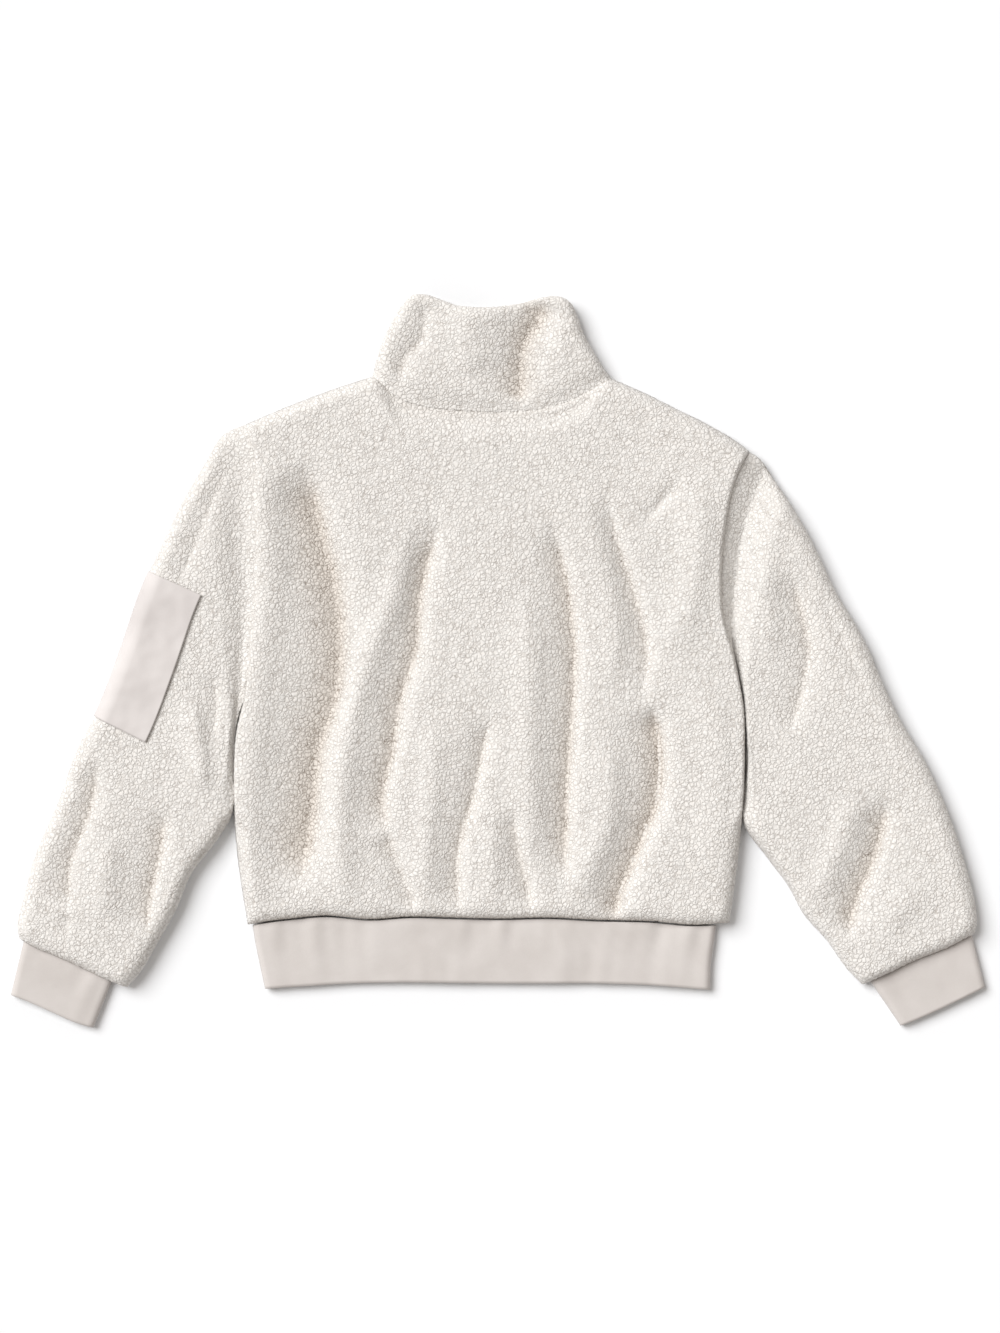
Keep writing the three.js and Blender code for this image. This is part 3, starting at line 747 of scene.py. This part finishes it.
@dataclass
class Body:
    """The back and the front, sewn at the shoulders and the sides and open at neck, hem and armholes."""

    crown: float = 24.0
    fold: float = 9.3
    over: float = 15.0
    under: float = 9.0
    hem_level: float = 12.0
    neck_level: float = 18.0
    back_cells: tuple[int, int] = (288, 300)
    front_cells: tuple[int, int] = (192, 198)
    folds: tuple[Fold, ...] = (
        # down the left armhole and side: the rolled edge, and the broad valley beside it
        Fold(
            ((-224, 470), (-222, 400), (-220, 340), (-228, 272), (-236, 202), (-240, 110), (-236, 10)),
            5, 18, 22, 40,
        ),
        Fold(
            (
                (-186, 460), (-169, 385), (-156, 332), (-151, 272), (-156, 222), (-172, 172), (-180, 100),
                (-194, 30),
            ),
            -15.5, 46, 17, 50, True,
        ),
        # the long curved ridge left of the middle and the trough that follows it
        Fold(
            ((-82, 400), (-94, 332), (-118, 272), (-138, 212), (-148, 142), (-150, 72), (-142, 14)),
            5, 16, 18, 56,
        ),
        Fold(
            ((-52, 400), (-69, 332), (-75, 272), (-90, 222), (-98, 172), (-108, 122), (-102, 84)),
            -12, 27, 10, 44, True,
        ),
        Fold(((-104, 92), (-94, 62), (-82, 30), (-74, 8)), -7, 20, 8, 16, True),
        # the middle
        Fold(((-56, 202), (-58, 122), (-64, 70), (-62, 16)), 3.5, 16, 14, 40),
        Fold(((0, 206), (-7, 172), (-18, 122), (-32, 72), (-32, 8)), -9, 19, 8, 30, True),
        Fold(((6, 110), (2, 60), (0, 14)), 2.5, 12, 14, 30),
        Fold(((22, 112), (28, 72), (38, 30), (42, 8)), -8, 17, 7, 20, True),
        # right of the middle
        Fold(((34, 330), (42, 262), (40, 202), (42, 122), (48, 56)), 4, 20, 16, 60),
        Fold(
            ((62, 400), (78, 330), (84, 272), (83, 222), (78, 152), (75, 72), (76, 36)), -12, 26, 9, 46, True,
        ),
        Fold(((98, 416), (116, 352), (126, 292), (120, 232)), 3.5, 20, 14, 50),
        Fold(((116, 430), (127, 382), (143, 332), (157, 272), (152, 222)), -8.5, 24, 8, 50, True),
        Fold(((114, 190), (120, 142), (116, 92), (98, 48), (84, 18)), 4.5, 19, 16, 44),
        Fold(((162, 216), (170, 172), (167, 122), (148, 72), (130, 27), (122, -6)), -15, 30, 9, 26, True),
        # down the right armhole and side
        Fold(((206, 446), (210, 402), (206, 352), (196, 312), (186, 262)), 5, 24, 20, 50),
        Fold(((192, 444), (172, 420), (150, 396)), -4, 10, 7, 26, True),
        Fold(((212, 250), (226, 200), (228, 150), (224, 80), (218, 30)), 2, 24, 14, 50),
    )

    def __post_init__(self) -> None:
        """Draws the edges that both panels share."""
        self.left, self.right = Curve(SIDE_LEFT), Curve(SIDE_RIGHT)
        self.hem = Curve(HEM)
        self.shoulders = (Curve(SHOULDER_LEFT), Curve(SHOULDER_RIGHT))

    def top(self, neck_points: Points) -> Along:
        """The top edge of a panel: a shoulder, the neck, and the other shoulder."""
        neck = Curve(neck_points)

        def edge(u: np.ndarray) -> np.ndarray:
            left = self.shoulders[0](u / NECK_POINT)
            middle = neck((u - NECK_POINT) / (1 - 2 * NECK_POINT))
            right = self.shoulders[1]((u - 1 + NECK_POINT) / NECK_POINT)
            u = np.asarray(u)[..., None]
            return np.where(u < NECK_POINT, left, np.where(u > 1 - NECK_POINT, right, middle))

        return edge

    def plan(self, neck_points: Points) -> Plan:
        """The outline of a panel."""
        return Plan(self.hem, self.top(neck_points), self.left, self.right)

    def _rounding(
        self, u: np.ndarray, v: np.ndarray, reach: float, mouths: tuple[float, float, float]
    ) -> tuple[np.ndarray, ...]:
        """How full a panel stands at places, and how far its inner face is set in.

        Args:
            u: shares of the panel's width.
            v: shares of its height.
            reach: how far in from an edge the cloth takes to rise.
            mouths: how far the cloth still turns down at the left armhole, the right one and the neck.

        Returns:
            The share of the full height, and the inner face's shifts in u and v.
        """
        open_arm = smooth((v - UNDERARM) * BODY_LENGTH, 0.0, 45.0)
        side_left, side_right = (1.0 - (1.0 - mouth) * open_arm for mouth in mouths[:2])
        into_neck = (np.minimum(u, 1 - u) - NECK_POINT) * BODY_WIDTH
        top = np.where(into_neck > 0, 1 - (1 - mouths[2]) * rise(into_neck, reach), 1.0)
        left, right, down = u * BODY_WIDTH, (1 - u) * BODY_WIDTH, (1 - v) * BODY_LENGTH
        touch = 1.0 + STEEPER * smooth((v - UNDERARM) * BODY_LENGTH + TOUCH, -15.0, 25.0)
        left, right = left * touch, right * touch
        full = mix(1.0, rise(left, reach), side_left) * mix(1.0, rise(right, reach), side_right)
        full = full * mix(1.0, rise(down, reach), top)
        inset_u = FLEECE_WALL * (side_left * lean(left, reach) - side_right * lean(right, reach)) / BODY_WIDTH
        inset_v = -FLEECE_WALL * top * lean(down, reach) / BODY_LENGTH
        return full, inset_u, inset_v

    def _crown(self, u: np.ndarray, v: np.ndarray, xy: np.ndarray) -> np.ndarray:
        """The back's height before its edges turn down: puffed over the hem, dipping at the neck seam."""
        full = self.crown + relief_of(self.folds, xy)
        hem = rise(v * BODY_LENGTH + 0.4, SEAM_ROLL)
        into_neck = (np.minimum(u, 1 - u) - NECK_POINT) * BODY_WIDTH
        neck = (1 - v) * BODY_LENGTH + 20.0 * (1 - smooth(into_neck, 0.0, 30.0))
        full = mix(self.neck_level, full, smooth(neck, 0.0, 34.0))
        seam_ridge = np.exp(-(((1 - v) * BODY_LENGTH - 5.0) / 4.0) ** 2) * smooth(into_neck, 4.0, 20.0)
        full = full + 1.6 * seam_ridge * smooth(u, 0.5, 0.62)
        return mix(self.hem_level, full, hem)

    @staticmethod
    def _side_lift(v: np.ndarray) -> np.ndarray:
        """How much higher the side folds lie where a sleeve is pressed against them."""
        above = (v - UNDERARM) * BODY_LENGTH
        return SIDE_LIFT * smooth(above + TOUCH, -20.0, 25.0) * (1 - smooth(above, 0.0, 40.0))

    @staticmethod
    def _grid(columns: int, rows: int) -> tuple[np.ndarray, np.ndarray]:
        """Places over a panel, a little closer together in its middle."""
        return np.meshgrid(*(gather(np.linspace(0, 1, n + 1), 1.06) for n in (columns, rows)))

    def back(self, shop: Workshop) -> bpy.types.Object:
        """Makes the back panel."""
        plan = self.plan(NECK_BACK)
        u, v = self._grid(*self.back_cells)
        full, inset_u, inset_v = self._rounding(u, v, self.over, (0.12, 0.3, 0.08))
        xy = plan(u, v)
        crown = self._crown(u, v, xy)
        fold = self.fold + self._side_lift(v)
        outer = np.dstack([xy, fold + (crown - fold) * full])
        inner = np.dstack([plan(u + inset_u, v + inset_v), fold + (crown - FLEECE_WALL - fold) * full])
        # How far each place lies below the crown sets how much shade is painted there.
        piece = fleece(shop, "back_panel", outer, inner, smooth(self.crown - crown, 2.0, 16.0), False)
        shop.declare(piece, "back", Kind.SHERPA, (0.56, 0.60), 0.282)
        return piece

    def front(self, shop: Workshop) -> bpy.types.Object:
        """Makes the front panel, pressed flat on the table, its outer face downwards."""
        plan = self.plan(NECK_FRONT)
        u, v = self._grid(*self.front_cells)
        full, inset_u, inset_v = self._rounding(u, v, self.under, (0.0, 0.0, 0.0))
        fold = self.fold - SEAM_GAP + self._side_lift(v)
        outer = np.dstack([plan(u, v), fold * (1 - full)])
        inner = np.dstack([plan(u + inset_u, v + inset_v), fold + (FLEECE_WALL - fold) * full])
        height, openness = shop.pile.relief(outer)
        pressed = -normals_of(outer, False)
        flat = smooth(outer[..., 2], 0.2, 5.0)
        raised = outer + pressed * (height * (0.25 + 0.75 * flat))[..., None]
        raised[..., 2] = np.maximum(raised[..., 2], 0.0)
        piece = Shell("front_panel", raised[:, ::-1], inner[:, ::-1], False).build(
            shop.origin, openness=openness[:, ::-1], fold_shade_mask=np.zeros_like(openness)
        )
        shop.declare(piece, "front", Kind.SHERPA, (0.56, 0.58), 0.272)
        return piece


@dataclass
class Tube:
    """A flattened tube of cloth lying on the table: a sleeve, the collar, the band or a cuff."""

    name: str
    over: Plan
    under: Plan
    crown: Callable[[np.ndarray, np.ndarray, np.ndarray], np.ndarray]
    lift: Callable[[np.ndarray], np.ndarray]
    length: float
    top_count: int
    bottom_count: int
    along_count: int
    wall: float
    fold: float = 9.0
    reach_over: float = 16.0
    reach_under: float = 9.0
    width_at: Optional[Callable[[np.ndarray], np.ndarray]] = None
    steep: Optional[Callable[[np.ndarray], np.ndarray]] = None
    raised: Optional[Callable[[np.ndarray, np.ndarray], np.ndarray]] = None

    def _layer(self, u: np.ndarray, v: np.ndarray, on_top: bool) -> tuple[np.ndarray, np.ndarray]:
        """Outer and inner points of the top or the bottom layer."""
        plan = self.over if on_top else self.under
        reach = self.reach_over if on_top else self.reach_under
        edge = plan(np.zeros_like(v), v), plan(np.ones_like(v), v)
        width = np.linalg.norm(edge[1] - edge[0], axis=-1) if self.width_at is None else self.width_at(v)
        from_left, from_right = u * width, (1 - u) * width
        if self.steep is not None:
            from_right = from_right * self.steep(v)
        near = np.minimum(from_left, from_right)
        turn = self.wall * lean(near, reach) / width
        inward = np.where(from_left < from_right, turn, -turn)
        full = rise(near, reach)
        xy = plan(u, v)
        level = self.crown(u, v, xy) if on_top else self.lift(v)
        step = -self.wall if on_top else self.wall
        fold = self.fold if self.raised is None else self.fold + self.raised(u, v)
        outer = np.dstack([xy, fold + (level - fold) * full])
        inner = np.dstack([plan(u + inward, v), fold + (level + step - fold) * full])
        return outer, inner

    def grids(self) -> tuple[np.ndarray, np.ndarray, np.ndarray]:
        """Outer and inner points of the whole tube, and a share of the way round for each."""
        v = np.linspace(0, 1, self.along_count + 1)
        tops = gather(np.arange(self.top_count) / self.top_count, 1.15)
        bottoms = 1 - gather(np.arange(self.bottom_count) / self.bottom_count, 1.15)
        layers = []
        for places, on_top in ((tops, True), (bottoms, False)):
            u, rows = np.meshgrid(places, v)
            layers.append(self._layer(u, rows, on_top))
        outer = np.concatenate([layers[0][0], layers[1][0]], axis=1)
        inner = np.concatenate([layers[0][1], layers[1][1]], axis=1)
        round_share = np.tile(np.concatenate([tops * 0.5, 0.5 + 0.5 * (1 - bottoms)]), (len(v), 1))
        middle = self.top_count // 2
        if normals_of(outer, True)[len(v) // 2, middle, 2] < 0:
            outer, inner, round_share = outer[:, ::-1], inner[:, ::-1], round_share[:, ::-1]
        return outer, inner, round_share


def fleece_tube(
    shop: Workshop, tube: Tube, folds: Sequence[Fold], grain: float, deep: float
) -> bpy.types.Object:
    """Makes a tube of fleece, with shade painted down in the folds of its upper side.

    Args:
        shop: the shared settings.
        tube: its form.
        folds: the folds that its form has.
        grain: the grain of its slow unevenness, mm.
        deep: the depth at which a fold takes its full painted shade, mm.

    Returns:
        The piece.
    """
    outer, inner, _ = tube.grids()
    fold_shade_mask = smooth(-relief_of(folds, outer[..., :2], grain), 1.5, deep) * smooth(outer[..., 2], 6.0, 9.0)
    return fleece(shop, tube.name, outer, inner, fold_shade_mask, True)


SLEEVE_OUTER_LEFT: Points = (
    (-245, 498), (-258, 493), (-270, 485), (-285, 460), (-300, 435), (-313, 411), (-325, 385), (-337, 360),
    (-350, 330), (-370, 272), (-393, 212), (-415, 170), (-430, 127), (-445, 92), (-458, 60), (-468, 22),
    (-474, -4), (-472, -17),
)
SLEEVE_INNER_LEFT: Points = (
    (-246, 225), (-253.5, 200), (-256.2, 165), (-257, 112), (-275, 80), (-300, 47), (-315, 12), (-336, -26),
    (-350, -50), (-364, -66),
)
WRIST_LEFT: Points = ((-472, -17), (-455, -26), (-440, -32), (-415, -43), (-390, -55), (-364, -66))
SLEEVE_OUTER_RIGHT: Points = (
    (260, 471), (270, 464), (285, 442), (300, 420), (317, 392), (332, 362), (347, 330), (365, 300),
    (380, 272), (390, 247), (413, 199), (437, 159), (457, 115), (469, 82), (478, 52), (486, 20), (488, -2),
    (486, -12),
)
SLEEVE_INNER_RIGHT: Points = (
    (254, 215), (255.3, 190), (255.8, 150), (254, 100), (279, 63), (300, 34), (314, 8), (337, -18),
    (357, -46), (373, -63),
)
WRIST_RIGHT: Points = ((486, -12), (473, -18), (460, -25), (427, -38), (400, -51), (373, -63))
CUFF_EDGE_LEFT: Points = ((-481, -74), (-465, -80), (-440, -91), (-415, -102), (-398, -107))
CUFF_EDGE_RIGHT: Points = ((497, -66), (475, -77), (450, -89), (430, -98), (412, -105))


@dataclass
class Sleeve:
    """One sleeve, from the armhole seam to the cuff seam."""

    name: str
    node: str
    outward: int
    outer: Points
    inner: Points
    wrist: Points
    folds: tuple[Fold, ...]
    mouth: float
    valley: float
    valley_at: float
    climb: float
    crown: float = 25.0
    cuff_level: float = 11.0
    lifted: bool = False

    def tube(self, body: Body) -> Tube:
        """Draws the sleeve's form against the body's armhole."""
        side = body.left if self.outward < 0 else body.right
        mouth = side.part(1.0, UNDERARM, (-self.outward * SEAM_TUCK, 0.0))
        plan = hung(mouth, self.wrist, self.outer[1:], self.inner[1:])
        outer, inner = plan.left, plan.right

        def crown(u: np.ndarray, v: np.ndarray, xy: np.ndarray) -> np.ndarray:
            run = mix(outer.length, inner.length, u)
            full = self.crown + relief_of(self.folds, xy)
            fall = np.clip(v * run / self.valley_at, 0.0, 1.0)
            beside = mix(self.mouth, self.valley, fall)
            full = mix(beside, full, smooth(v * run, 0.8 * self.valley_at, self.valley_at + self.climb))
            beside = mix(self.valley, full, smooth((1 - u) * inner.length, 8.0, 48.0))
            full = mix(beside, full, smooth(v * inner.length, TOUCH - 35.0, TOUCH + 25.0))
            return mix(self.cuff_level, full, rise((1 - v) * SLEEVE_LENGTH + 0.4, SEAM_ROLL))

        def lift(v: np.ndarray) -> np.ndarray:
            if not self.lifted:
                return np.zeros_like(v)
            return PATCH_LIFT * smooth(v, 0.0, 0.1) * (1 - smooth(v, 0.73, 0.94))

        def steep(v: np.ndarray) -> np.ndarray:
            return 1.0 + STEEPER * (1.0 - smooth(v * inner.length, TOUCH - 25.0, TOUCH + 15.0))

        def raised(u: np.ndarray, v: np.ndarray) -> np.ndarray:
            touching = 1.0 - smooth(v * inner.length, TOUCH - 25.0, TOUCH + 20.0)
            return SIDE_LIFT * touching * smooth(u, 0.4, 0.6)

        return Tube(
            self.name, plan, plan, crown, lift, outer.length, top_count=144, bottom_count=60, along_count=264,
            wall=FLEECE_WALL, steep=steep, raised=raised,
        )

    def build(self, shop: Workshop, body: Body) -> bpy.types.Object:
        """Makes the sleeve."""
        piece = fleece_tube(shop, self.tube(body), self.folds, 80.0, 11.0)
        shop.declare(piece, self.node, Kind.SHERPA, (0.54, 0.60), 0.152)
        return piece


def sleeves() -> tuple[Sleeve, Sleeve]:
    """The two sleeves, with the folds of each."""
    left = Sleeve(
        "sleeve_left_shell", "sleeve_left", -1, SLEEVE_OUTER_LEFT, SLEEVE_INNER_LEFT, WRIST_LEFT,
        (
            Fold(((-262, 462), (-268, 442), (-286, 402), (-301, 362), (-312, 340)), -3.5, 17, 8, 24, True),
            Fold(((-300, 222), (-292, 186), (-286, 128)), 5, 15, 10, 26),
            Fold(((-276, 250), (-274, 218), (-276, 182)), -4, 14, 9, 20, True),
            Fold(((-396, 160), (-396, 132), (-408, 92), (-420, 58), (-422, 10)), -7, 24, 10, 26, True),
            Fold(((-380, 90), (-384, 40), (-384, 0)), 3.5, 14, 16, 26),
            Fold(((-326, 112), (-330, 72), (-341, 22), (-344, -14)), -7, 24, 9, 24, True),
            Fold(((-423, 10), (-423, -14)), -3, 10, 7, 10, True),
        ),
        mouth=21.0,
        valley=17.5,
        valley_at=17.0,
        climb=60.0,
        lifted=True,
    )
    right = Sleeve(
        "sleeve_right_shell", "sleeve_right", 1, SLEEVE_OUTER_RIGHT, SLEEVE_INNER_RIGHT, WRIST_RIGHT,
        (
            Fold(((275, 372), (278, 320), (280, 262)), 3, 14, 16, 30),
            Fold(((300, 350), (309, 318), (318, 272), (309, 222), (296, 186)), -6, 22, 10, 30, True),
            Fold(((366, 126), (348, 72), (326, 24)), 4, 16, 18, 24),
            Fold(((398, 124), (386, 72), (366, 22), (356, -18)), -9, 27, 11, 26, True),
            Fold(((440, 40), (410, 15), (388, -20)), 3.5, 20, 20, 30),
            Fold(((330, 330), (352, 284), (375, 235)), -2.5, 9, 6, 20, True),
        ),
        mouth=18.5,
        valley=8.5,
        valley_at=27.0,
        climb=44.0,
    )
    return left, right


@dataclass
class Collar:
    """The stand collar, a tube from the neck seam to its top edge."""

    crown: float = 23.5
    seam_level: float = 17.4
    edge_drop: float = 5.5
    grain: float = 50.0
    folds: tuple[Fold, ...] = (
        Fold(((54, 622), (47, 602), (35, 582), (31, 562), (30, 542), (27, 516)), -11, 29, 20, 14, True),
        Fold(((-22, 622), (-20, 586), (-16, 546)), 4.5, 22, 34, 22),
        Fold(((70, 612), (72, 580), (70, 548)), 3, 14, 16, 24),
        Fold(((-64, 620), (-65, 602), (-70, 582), (-86, 562), (-93, 542)), -5, 17, 11, 16, True),
        Fold(((-84, 560), (-92, 540), (-104, 534)), -2, 8, 7, 10),
    )

    def tube(self) -> Tube:
        """Draws the collar's form on the neck seam."""

        def layer(points: Points) -> Plan:
            seam = Curve(points).part(0.0, 1.0, (0.0, -SEAM_TUCK))
            return hung(seam, COLLAR_TOP, COLLAR_LEFT[1:], COLLAR_RIGHT[1:])

        def crown(u: np.ndarray, v: np.ndarray, xy: np.ndarray) -> np.ndarray:
            full = self.crown + relief_of(self.folds, xy, self.grain)
            full = mix(self.seam_level, full, smooth(v * COLLAR_HEIGHT, -4.0, 26.0))
            return full - self.edge_drop * (1 - rise((1 - v) * COLLAR_HEIGHT, 9.0))

        def width(v: np.ndarray) -> np.ndarray:
            return mix(NECK, COLLAR_TOP_WIDTH, v)

        return Tube(
            "collar_shell", layer(NECK_BACK), layer(NECK_FRONT), crown, np.zeros_like, COLLAR_HEIGHT,
            top_count=132, bottom_count=66, along_count=66, wall=FLEECE_WALL, width_at=width,
        )

    def build(self, shop: Workshop) -> bpy.types.Object:
        """Makes the collar."""
        piece = fleece_tube(shop, self.tube(), self.folds, self.grain, 13.0)
        shop.declare(piece, "collar", Kind.SHERPA, (0.46, 0.13), 0.053)
        return piece


@dataclass
class KnitTube:
    """The hem band or a cuff: doubled jersey, folded along its free edge."""

    name: str
    node: str
    plan: Plan
    crown: float
    ripples: tuple[tuple[float, float, float], ...]
    flat: tuple[float, float]
    height: float
    top_count: int
    along_count: int = 36
    bottom_count: int = 60
    edge_level: float = 9.5

    def build(self, shop: Workshop) -> bpy.types.Object:
        """Makes the piece."""
        half_metre = 500.0
        laid_width = self.flat[0] * half_metre

        def crown(u: np.ndarray, v: np.ndarray, xy: np.ndarray) -> np.ndarray:
            wave = sum(
                high * np.sin((u * laid_width / pitch + lag + 0.25 * v) * 2 * math.pi)
                for high, pitch, lag in self.ripples
            )
            flat = np.concatenate([xy / 30.0, np.zeros(xy.shape[:-1] + (1,))], axis=-1)
            wave = wave * (1.0 - 0.55 * v) * (0.6 + 0.8 * drift(flat * 0.6, 41)) + 0.55 * drift(flat, 42)
            top = self.crown + wave - 0.5 * (1 - smooth(v * self.height, 0.0, 9.0))
            return top - (self.crown - self.edge_level) * (1 - rise((1 - v) * self.height, 1.6))

        tube = Tube(
            self.name, self.plan, self.plan, crown, np.zeros_like, self.height, self.top_count,
            self.bottom_count, self.along_count, KNIT_WALL, fold=5.6, reach_over=7.0, reach_under=5.6,
        )
        outer, inner, round_share = tube.grids()
        piece = Shell(self.name, outer, inner, True).build(shop.origin)
        rows = np.linspace(0, self.height * MM, outer.shape[0])[:, None]
        fine = np.dstack([round_share * self.flat[0], np.broadcast_to(rows, round_share.shape)])
        coarse = fine[::STRIDE, ::STRIDE]
        map_cloth(piece, np.vstack([fine.reshape(-1, 2), coarse.reshape(-1, 2)]))
        shop.declare(piece, self.node, Kind.JERSEY, self.flat, self.flat[0] * self.flat[1])
        return piece


def hem_band(body: Body) -> KnitTube:
    """The hem band, hung from the hem seam."""
    seam = body.hem.part(0.01, 0.973, (0.0, -SEAM_GAP))
    plan = hung(seam, BAND_BOTTOM, BAND_LEFT[1:], BAND_RIGHT[1:])
    ripples = ((0.9, 62.0, 0.1), (0.6, 37.0, 0.6), (0.35, 21.0, 0.3))
    return KnitTube("hem_band_shell", "hem_band", plan, 12.0, ripples, (0.93, 0.067), 66.0, 420)


def cuff(
    name: str, node: str, wrist: Points, span: tuple[float, float], edge: Points, outward: int
) -> KnitTube:
    """A cuff, hung from the end of its sleeve.

    Args:
        name: the piece's name.
        node: the solid that it stands for.
        wrist: the seam at the sleeve's end.
        span: the shares of that seam between which it hangs.
        edge: its free edge.
        outward: -1 on the left, 1 on the right.

    Returns:
        The cuff, ready to build.
    """
    seam_curve = Curve(wrist)
    ends = seam_curve(np.array([0.0, 1.0]))
    run = (ends[1] - ends[0]) / np.linalg.norm(ends[1] - ends[0])
    away = np.array([run[1], -run[0]]) * SEAM_GAP * (1 if run[0] > 0 else -1)
    seam = seam_curve.part(span[0], span[1], tuple(away))
    plan = hung(seam, edge, edge[:1], edge[-1:])
    ripples = ((0.7, 41.0, 0.2 if outward < 0 else 0.5), (0.4, 23.0, 0.7))
    flat = (0.2, 0.052) if outward < 0 else (0.225, 0.053)
    return KnitTube(name, node, plan, 11.5, ripples, flat, 52.0, 90)


@dataclass
class Patch:
    """The woven patch that wraps the left sleeve's outer fold."""

    start: float = 0.315
    stop: float = 0.585
    reach: float = 58.0
    crown: float = 26.0
    clear: float = 0.6

    def _section(self, count: int) -> tuple[np.ndarray, np.ndarray]:
        """The sleeve's section round its fold, from on top to beneath, and the way out at each place."""
        fold, over, under = Tube.fold, Tube.reach_over, Tube.reach_under
        share = np.linspace(-1, 1, count)
        distance = self.reach * np.abs(share) ** 1.25
        top = fold + (self.crown - fold) * rise(distance, over)
        bottom = fold + (PATCH_LIFT - fold) * rise(distance, under)
        line = np.stack([distance, np.where(share <= 0, top, bottom)], axis=-1)
        along = np.gradient(line, axis=0)
        along /= np.linalg.norm(along, axis=-1, keepdims=True)
        return line, np.stack([along[:, 1], -along[:, 0]], axis=-1)

    def build(self, shop: Workshop) -> bpy.types.Object:
        """Makes the patch."""
        edge = Curve(SLEEVE_OUTER_LEFT)
        rows, columns = 96, 120
        t = np.linspace(self.start, self.stop, rows + 1)
        base = edge(t)
        tangent = edge(t + 0.01) - edge(t - 0.01)
        tangent /= np.linalg.norm(tangent, axis=-1, keepdims=True)
        inward = np.stack([-tangent[:, 1], tangent[:, 0]], axis=-1)
        line, out = self._section(columns + 1)

        def place(offset: np.ndarray) -> np.ndarray:
            moved = line[None] + out[None] * offset[..., None]
            xy = base[:, None, :] + inward[:, None, :] * moved[..., :1]
            return np.dstack([xy, np.maximum(moved[..., 1], 0.02)])

        flat = place(np.full((rows + 1, columns + 1), self.clear))
        wrinkle = 0.5 * drift(flat / np.array([16.0, 34.0, 60.0]), 51) + 0.3 * drift(flat / 9.0, 52)
        on_top = smooth(flat[..., 2], 8.0, 20.0)
        outer = place(self.clear + WOVEN_WALL + wrinkle * on_top + 0.3 * on_top)
        piece = Shell("sleeve_patch_cloth", outer, flat, False).build(shop.origin)
        across = np.concatenate([[0], np.cumsum(np.linalg.norm(np.diff(line, axis=0), axis=1))]) * MM
        down = (t - t[0]) * edge.length * MM
        fine = np.dstack(np.meshgrid(across, down))
        map_cloth(piece, np.vstack([fine.reshape(-1, 2), fine[::STRIDE, ::STRIDE].reshape(-1, 2)]))
        shop.declare(piece, "sleeve_patch", Kind.WOVEN, (0.138, 0.155), 0.0214)
        return piece


# ---- Studio ----
@dataclass
class Studio:
    """The pale table, the soft light from the upper left and the camera straight above."""

    lens: float = 100.0
    sensor: float = 36.0
    frame_height: float = 1.333
    target: tuple[float, float, float] = (0.002, -0.0046, 0.02)
    sky: tuple[float, float, float, float] = (1.0, 0.94, 0.885, 1.0)
    sky_strength: float = 0.405
    key: tuple[float, float, float] = (-1.3, 0.9, 1.75)
    key_angle: float = 38.0
    key_strength: float = 3.12

    def camera(self) -> None:
        """Places the camera, looking straight down."""
        data = bpy.data.cameras.new("camera")
        data.lens = self.lens
        data.sensor_width = self.sensor
        data.clip_end = 20.0
        view = bpy.data.objects.new("camera", data)
        bpy.context.scene.collection.objects.link(view)
        distance = self.frame_height * self.lens / self.sensor
        view.location = Vector(self.target) + Vector((0, 0, distance))
        bpy.context.scene.camera = view

    def table(self) -> None:
        """Lays the table's top under the garment."""
        bpy.ops.object.select_all(action="DESELECT")
        bpy.ops.mesh.primitive_plane_add(size=8.0, location=(0, 0, -0.0002))
        top = bpy.context.active_object
        top.name = "table_top"
        top.data.materials.append(PlainFinish("table", (0.89, 0.905, 0.925, 1.0), 0.9, 0.5, 0.01).make())

    def light(self, name: str, towards: tuple[float, float, float], angle: float, strength: float) -> None:
        """Adds one broad, even light, by the direction towards it and the angle that it spans, degrees."""
        data = bpy.data.lights.new(name, "SUN")
        data.angle = math.radians(angle)
        data.energy = strength
        lamp = bpy.data.objects.new(name, data)
        bpy.context.scene.collection.objects.link(lamp)
        lamp.location = towards
        lamp.rotation_euler = (-Vector(towards)).to_track_quat("-Z", "Y").to_euler()

    def build(self) -> None:
        """Sets up the whole studio."""
        scene = bpy.context.scene
        scene.view_settings.view_transform = "Standard"
        world = bpy.data.worlds.new("studio")
        world.use_nodes = True
        background = world.node_tree.nodes["Background"]
        background.inputs["Color"].default_value = self.sky
        background.inputs["Strength"].default_value = self.sky_strength
        scene.world = world
        self.camera()
        self.table()
        self.light("key", self.key, self.key_angle, self.key_strength)


def main() -> None:
    """Builds the pullover and its studio."""
    logging.basicConfig(level=logging.INFO, format="%(message)s")
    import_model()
    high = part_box("back")[1]
    shoulder_end, neck_point = SHOULDER_RIGHT[-1][0] * MM, SHOULDER_LEFT[-1][1] * MM
    origin = np.array([high.x - shoulder_end, high.y - neck_point, 0.0])
    finishes = {
        Kind.SHERPA: SherpaFinish().make(),
        Kind.JERSEY: JerseyFinish().make(),
        Kind.WOVEN: WovenFinish().make(),
    }
    shop = Workshop(origin, finishes)
    Studio().build()
    body = Body()
    body.back(shop)
    body.front(shop)
    for sleeve in sleeves():
        sleeve.build(shop, body)
    Collar().build(shop)
    hem_band(body).build(shop)
    cuff("cuff_left_shell", "cuff_left", WRIST_LEFT, (0.04, 0.86), CUFF_EDGE_LEFT, -1).build(shop)
    cuff("cuff_right_shell", "cuff_right", WRIST_RIGHT, (0.02, 0.93), CUFF_EDGE_RIGHT, 1).build(shop)
    Patch().build(shop)


if __name__ == "__main__":
    main()
